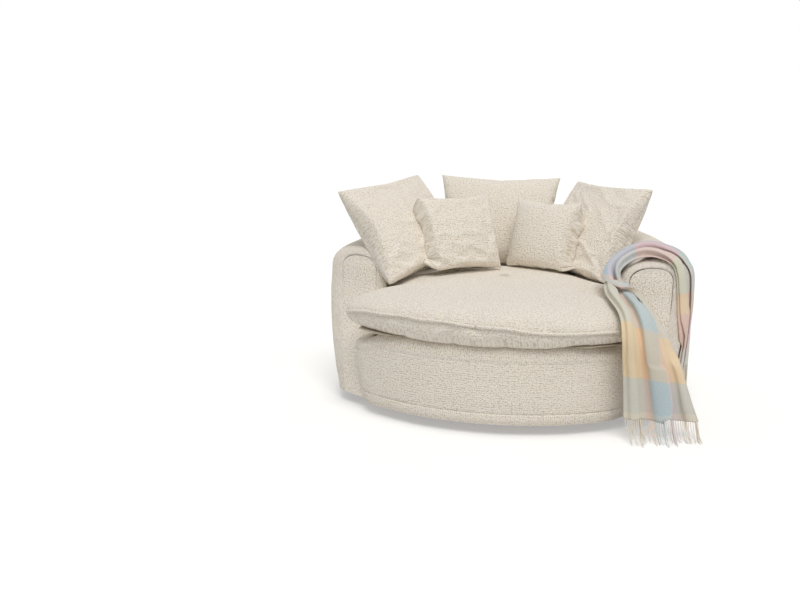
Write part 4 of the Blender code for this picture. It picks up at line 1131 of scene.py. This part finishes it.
# %% A level sheet from rings
def level_sheet(name, rings, middle, up, thickness, finish, slot, stands_for):
    """The faces look up or down; middle closes the smallest ring, None leaves it open."""
    count = len(rings[0])
    points = [p for ring in rings for p in ring]
    faces = grid_faces(len(rings), count, closed=True)
    if middle is not None:
        faces += fan(0, count, len(points))
        points.append(middle)
    sheet = make_piece(name, points, faces, [(p.x, p.y, 0.0) for p in points], finish, "frame",
                       slot, [stands_for])
    face_towards(sheet, lambda place: Vector((0.0, 0.0, up)))
    thicken(sheet, thickness)
    return sheet


# %% Stretch the lining over the deck
LINING_THICKNESS, LINING_RINGS, LINING_COLUMNS = 0.0012, 24, 160
low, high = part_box("deck_cloth")
deck_line = []
for place in closed_spline(seat_outline(), LINING_COLUMNS):
    x, y = (max(low[k], min(high[k], place[k])) for k in (0, 1))
    deck_line.append(Vector((x * 0.995, -0.02 + (y + 0.02) * 0.985)))
centre = sum(deck_line, Vector((0.0, 0.0))) / len(deck_line)
deck_rings = [[Vector((*lerp(centre, p, k / LINING_RINGS), high.z)) for p in deck_line]
              for k in range(1, LINING_RINGS + 1)]
deck = level_sheet("deck_lining_cloth", deck_rings, Vector((*centre, high.z)), 1.0,
                   LINING_THICKNESS, LINING, "platform_cloth", "deck_cloth")
press_in(deck, lambda place: -uneven(place, 0.09, 0.0003))
print("deck lining", [round(c, 3) for c in low], [round(c, 3) for c in high])

# %% [markdown]
# ## The plaid throw
# A woollen throw hangs over the right arm: from a hem outside the arm, over the top, across the
# seat's corner and down the front to the floor. It is gathered to about half its width, so it
# lies in flat folds. The work is done in two steps. First comes the ground that the throw
# would cover without folds, a band between two edges, moved clear of what lies under it. Then
# each row of the band gets a wavy cross-section, which swings just as far to either side as is
# needed for the cloth's full width to fit.

# %% The route of the throw's edges
THROW_ROUTE = (
    ((0.716, 0.080, 0.150), (0.664, -0.120, 0.155)),
    ((0.718, 0.080, 0.320), (0.670, -0.105, 0.320)),
    ((0.715, 0.080, 0.470), (0.672, -0.090, 0.470)),
    ((0.692, 0.075, 0.572), (0.652, -0.082, 0.566)),
    ((0.610, 0.055, 0.600), (0.580, -0.094, 0.600)),
    ((0.528, 0.030, 0.585), (0.510, -0.118, 0.590)),
    ((0.458, -0.025, 0.556), (0.466, -0.162, 0.556)),
    ((0.410, -0.110, 0.518), (0.480, -0.216, 0.522)),
    ((0.398, -0.205, 0.505), (0.530, -0.246, 0.474)),
    ((0.420, -0.315, 0.488), (0.585, -0.272, 0.422)),
    ((0.474, -0.432, 0.450), (0.632, -0.305, 0.362)),
    ((0.492, -0.490, 0.385), (0.675, -0.338, 0.285)),
    ((0.497, -0.482, 0.270), (0.714, -0.362, 0.215)),
    ((0.502, -0.474, 0.160), (0.744, -0.374, 0.130)),
    ((0.506, -0.472, 0.080), (0.770, -0.374, 0.060)),
)
THROW_ROWS, GROUND_COLUMNS = 150, 19
THROW_GAP, CLEAR_REACH = 0.003, 0.08


def open_spline(points, share):
    last = len(points) - 1
    k = min(int(share), last - 1)
    near = [points[min(max(k + m, 0), last)] for m in (-1, 0, 1, 2)]
    return spline_point(*near, share - k)


# %% The ground that the folds lie on
def relaxed(grid, rounds):
    """Each inner point moves halfway towards the middle of its neighbours, a few times."""
    for _ in range(rounds):
        grid = [[p if i in (0, len(grid) - 1) or j in (0, len(row) - 1)
                 else p / 2 + (grid[i - 1][j] + grid[i + 1][j] + row[j - 1] + row[j + 1]) / 8
                 for j, p in enumerate(row)] for i, row in enumerate(grid)]
    return grid


def cleared_grid(grid, neighbours, gap):
    moved = []
    for row in grid:
        for neighbour in neighbours:
            row = [neighbour.cleared(place, gap, CLEAR_REACH) for place in row]
        moved.append(row)
    return moved


throw_rests_on = [wall_skin, seat_skin]
last_pair = len(THROW_ROUTE) - 1
edges = [[Vector(pair[side]) for pair in THROW_ROUTE] for side in (0, 1)]
ground = []
for i in range(THROW_ROWS):
    a, b = (open_spline(edge, last_pair * i / (THROW_ROWS - 1)) for edge in edges)
    ground.append([lerp(a, b, j / (GROUND_COLUMNS - 1)) for j in range(GROUND_COLUMNS)])
ground = cleared_grid(relaxed(cleared_grid(ground, throw_rests_on, THROW_GAP), 2),
                      throw_rests_on, THROW_GAP)
throw_length = sum((b[GROUND_COLUMNS // 2] - a[GROUND_COLUMNS // 2]).length
                   for a, b in zip(ground, ground[1:]))
print("throw length", round(throw_length, 2), "m")

# %% A line gathered into waves
THROW_WIDTH, THROW_THICKNESS = 0.38, 0.0022
THROW_COLUMNS = 120
FOLDS, WIDEST_SWING = 3, 2.15
DEPTH_OUTSIDE, DEPTH_TOP, DEPTH_PINCH, DEPTH_HUNG = 0.09, 0.70, 0.50, 0.45


def gathers(room, depth, wander):
    """Along and height of a cloth of the throw's width in waves that fill a narrower room."""
    share = np.linspace(0.0, 1.0, THROW_COLUMNS)
    turns = FOLDS * (share + (0.055 + 0.02 * wander) * np.sin(2 * math.pi * share))
    waves = np.sin(2 * math.pi * turns)
    low, high = 0.0, WIDEST_SWING
    for _ in range(20):
        swing = (low + high) / 2
        ahead, up = np.cos(swing * waves), np.sin(swing * waves) * depth
        length = np.hypot(ahead, up).sum()
        if ahead.sum() / length * THROW_WIDTH > room:
            low = swing
        else:
            high = swing
    along, height = np.cumsum(ahead), np.cumsum(up) * THROW_WIDTH / length
    height -= height[-1] * share
    return along / along[-1], height - height.min()


# %% Lay the folds on the ground
def ground_normals(grid):
    """At each point, the way out of whatever lies nearest under it, evened out."""
    normals = []
    for row in grid:
        line = []
        for place in row:
            found = [skin.tree.find_nearest(place) for skin in (*throw_rests_on, front_skin)]
            line.append(min(found, key=lambda hit: hit[3])[1])
        normals.append(line)
    normals = relaxed(normals, 12)
    return [[normal.normalized() for normal in row] for row in normals]


def at_share(row, share):
    at = min(max(share, 0.0), 1.0) * (len(row) - 1)
    k = min(int(at), len(row) - 2)
    return lerp(row[k], row[k + 1], at - k)


def throw_grid():
    normals = ground_normals(ground)
    grid = []
    for i, row in enumerate(ground):
        along = i / (THROW_ROWS - 1)
        depth = float(np.interp(along, (0.0, 0.20, 0.32, 0.42, 0.52, 0.72),
                                (DEPTH_OUTSIDE, DEPTH_OUTSIDE, DEPTH_TOP, DEPTH_TOP,
                                 DEPTH_PINCH, DEPTH_HUNG)))
        room = sum((b - a).length for a, b in zip(row, row[1:]))
        line = []
        for share, height in zip(*gathers(room, depth, noise.noise(Vector((along * 4, 0, 2))))):
            place, normal = at_share(row, share), at_share(normals[i], share)
            sway = 0.005 * noise.noise(Vector((share * 2.0, along * 7.0, 4.0)))
            line.append(place + normal * (height + sway + THROW_GAP))
        grid.append(line)
    return grid


BEND_AT, BEND_REACH, BEND_ROUNDS = 0.50, 0.09, 24


def eased_bend(grid):
    """Where the throw turns over the seat's corner its folds are drawn together and evened out."""
    eased = relaxed(grid, BEND_ROUNDS)
    shares = [math.exp(-((i / (len(grid) - 1) - BEND_AT) / BEND_REACH) ** 2)
              for i in range(len(grid))]
    return [[lerp(a, b, share) for a, b in zip(row, even)]
            for row, even, share in zip(grid, eased, shares)]


throw_points = eased_bend(throw_grid())
print("throw grid", len(throw_points), "by", len(throw_points[0]))

# %% [markdown]
# ## The throw's wool
# The throw is a wide pastel plaid: broad stripes along it cross broad bands across it, and
# where they meet the two yarns mix. Each set is a ramp of colours read along one direction of
# the cloth. Their mix is what a twill or tabby plaid shows at arm's length. A brushed surface
# blurs the edges, so the place is first nudged by a little noise.

# %% The plaid finish
STRIPES = [(0.0, (226, 219, 198)), (0.29, (236, 196, 180)), (0.37, (164, 199, 219)),
           (0.52, (216, 198, 208)), (0.74, (226, 214, 196))]
BANDS = [(0.0, (226, 223, 217)), (0.045, (234, 178, 166)), (0.10, (243, 205, 152)),
         (0.14, (212, 220, 196)), (0.225, (232, 196, 196)), (0.345, (182, 204, 218)),
         (0.48, (238, 208, 176)), (0.555, (208, 208, 194)), (0.735, (245, 206, 140)),
         (0.875, (196, 202, 198)), (0.965, (230, 222, 206))]
BRUSHED = rgba(240, 234, 224)


def plaid(name):
    wool = Finish(name)
    weave = wool.weave()
    blur = (wool.noise(weave, 0.004) - 0.5) * 0.02
    sets = []
    for axis, (colours, size) in enumerate(((STRIPES, THROW_WIDTH), (BANDS, throw_length))):
        yarns = wool.node("ShaderNodeValToRGB", {"stops": [(p, rgba(*c)[:3]) for p, c in colours]},
                          {0: wool.axis(weave, axis) * (1 / size) + blur})
        yarns.socket.node.color_ramp.interpolation = "CONSTANT"
        sets.append(yarns)
    warp, weft = wool.threads(weave, 0.0022)
    fuzz = wool.noise(weave, (0.0016, 0.007, 0.003), 3.0, 0.6)
    colour = wool.mixed(0.5 + warp * weft * 0.12, *sets)
    colour = wool.mixed(wool.ramp(fuzz, 0.35, 0.75) * 0.35, colour, BRUSHED)
    return wool.done({"Base Color": colour, "Roughness": 0.9,
                      "Normal": wool.bump(warp * weft * 0.35 + fuzz, 0.6, 0.0016),
                      "Sheen Weight": 0.35, "Sheen Roughness": 0.5})


PLAID = plaid("plaid_wool")

# %% Make the throw
throw_weave = [(THROW_WIDTH * j / (THROW_COLUMNS - 1), throw_length * i / (THROW_ROWS - 1), 0.0)
               for i in range(THROW_ROWS) for j in range(THROW_COLUMNS)]
throw = grid_piece("plaid_throw", throw_points, throw_weave, PLAID, "throw", "plaid_wool",
                   ["throw"])
face_towards(throw, lambda place: Vector((0.5, -0.5, 0.6)))
thicken(throw, THROW_THICKNESS)

# %% [markdown]
# ## The throw's fringe
# Both short hems end in a fringe of twisted yarns. Each yarn is its own thin tapered tube that
# hangs from the hem, with a small sway of its own. The random numbers start from a fixed seed,
# so every run gives the same fringe.

# %% Twist the yarns
FRINGE, YARN_RADIUS = 0.095, 0.0016
YARNS, YARN_STEPS = 64, 8
yarn_chance = np.random.default_rng(7)


def fringe_piece(name, hem, fall, lie, stands_for, along):
    points, faces, weave = [], [], []
    for k in range(YARNS):
        share = (k + 0.5) / YARNS
        at = share * (len(hem) - 1)
        root = lerp(hem[int(at)], hem[min(int(at) + 1, len(hem) - 1)], at - int(at))
        sway = Vector(yarn_chance.normal(0.0, 0.10, 3))
        length = FRINGE * (1 + 0.12 * yarn_chance.normal())
        path = []
        for t in [step / YARN_STEPS for step in range(YARN_STEPS + 1)]:
            way = (fall * (1 - t) + lie * t + sway * t).normalized()
            place = root if not path else path[-1] + way * length / YARN_STEPS
            path.append(Vector((place.x, place.y, max(place.z, YARN_RADIUS))))
        made, made_faces, _ = tube(path, lambda s: YARN_RADIUS * (1 - 0.45 * s), 5, False)
        faces += [tuple(index + len(points) for index in face) for face in made_faces]
        points += made
        weave += [(THROW_WIDTH * share, along, 0.0)] * len(made)
    piece = make_piece(name, points, faces, weave, PLAID, "throw", "wool_fringe", stands_for)
    turn_outward(piece.data)
    return piece


down = Vector((0.0, 0.0, -1.0))
side_fringe = fringe_piece("throw_yarns_side", throw_points[0], down, down,
                           ["throw_fringe_side"], 0.001)
front_fringe = fringe_piece("throw_yarns_front", throw_points[-1],
                            Vector((0.1, -0.3, -0.95)).normalized(),
                            Vector((0.3, -0.7, -0.5)).normalized(),
                            ["throw_fringe_front"], throw_length - 0.001)
print("fringe yarns", 2 * YARNS)

# %% [markdown]
# ## The felt under the chair
# The black felt closes the bottom board and hides the springs. It is round, with a hole for
# the middle foot.

# %% Cut the felt
FELT_RADIUS, FOOT_HOLE = 0.36, 0.031
FELT_THICKNESS, FELT_GAP, FELT_SAG = 0.0008, 0.0003, 0.0015
low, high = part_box("dust_cloth")
felt_rings = []
for share in [k / 19 for k in range(20)]:
    radius = lerp(FOOT_HOLE, FELT_RADIUS, share)
    height = high.z - FELT_GAP - FELT_SAG * math.sin(math.pi * share)
    felt_rings.append([Vector((radius * math.cos(a), radius * math.sin(a), height))
                       for a in np.linspace(0, 2 * math.pi, 97)[:-1]])
felt = level_sheet("bottom_felt_cloth", felt_rings, None, -1.0, FELT_THICKNESS, FELT,
                   "black_cloth", "dust_cloth")
print("felt", round(2 * FELT_RADIUS, 2), "m across")

# %% [markdown]
# ## Floor and light
# The chair stands in a plain white studio. The floor keeps the chair's soft shadow and is
# otherwise so pale that it runs into the white behind it, which needs a little glow that only
# the camera sees. The lamp is a sun with a wide angle, above, in front and to the right: it
# lights the whole floor evenly, and its width keeps the shadows soft.

# %% The studio floor
WHITE, FLOOR_GLOW = (1, 1, 1, 1), 0.36


def studio_floor():
    paint = Finish("studio_floor_paint")
    dust = paint.noise(paint.place(), 0.4)
    colour = paint.mixed(dust, rgba(220, 219, 217), rgba(226, 225, 223))
    matt = paint.node("ShaderNodeBsdfPrincipled", None, {"Base Color": colour, "Roughness": 0.9})
    glow = paint.node("ShaderNodeEmission", None, {"Color": WHITE, "Strength": FLOOR_GLOW})
    both = paint.node("ShaderNodeAddShader", None, {0: matt, 1: glow})
    seen = paint.node("ShaderNodeLightPath", None, output=0)
    mixed = paint.node("ShaderNodeMixShader", None, {0: seen, 1: matt, 2: both})
    paint.node("ShaderNodeOutputMaterial", None, {"Surface": mixed})
    return paint.made


floor_mesh = bpy.data.meshes.new("studio_floor")
floor_mesh.from_pydata([(-30, -12, 0), (30, -12, 0), (30, 60, 0), (-30, 60, 0)], [], [(0, 1, 2, 3)])
floor_mesh.materials.append(studio_floor())
floor = bpy.data.objects.new("studio_floor", floor_mesh)
scene.collection.objects.link(floor)


# %% The white room and the lamp
ROOM_LEVEL = 0.46
SUN_FROM, SUN_COLOUR = (0.18, -0.44, 0.88), (1.0, 0.985, 0.965)
SUN_POWER, SUN_SPREAD = 1.57, 38.0


def white_room():
    room = Finish("white_room", bpy.data.worlds)
    camera_ray, glossy_ray = [room.node("ShaderNodeLightPath", None, output=name)
                              for name in ("Is Camera Ray", "Is Glossy Ray")]
    seen = room.node("ShaderNodeMath", {"operation": "MAXIMUM"}, {0: camera_ray, 1: glossy_ray})
    level = room.node("ShaderNodeMapRange", None, {0: seen, 3: ROOM_LEVEL, 4: 1.0})
    back = room.node("ShaderNodeBackground", None, {"Color": WHITE, "Strength": level})
    room.node("ShaderNodeOutputWorld", None, {0: back})
    scene.world = room.made


white_room()
lamp = bpy.data.lights.new("softbox", "SUN")
lamp.energy, lamp.color = SUN_POWER, SUN_COLOUR
lamp.angle = math.radians(SUN_SPREAD)
softbox = bpy.data.objects.new("softbox", lamp)
softbox.rotation_euler = (-Vector(SUN_FROM)).to_track_quat("-Z", "Y").to_euler()
scene.collection.objects.link(softbox)
print("one wide sun and a white room")
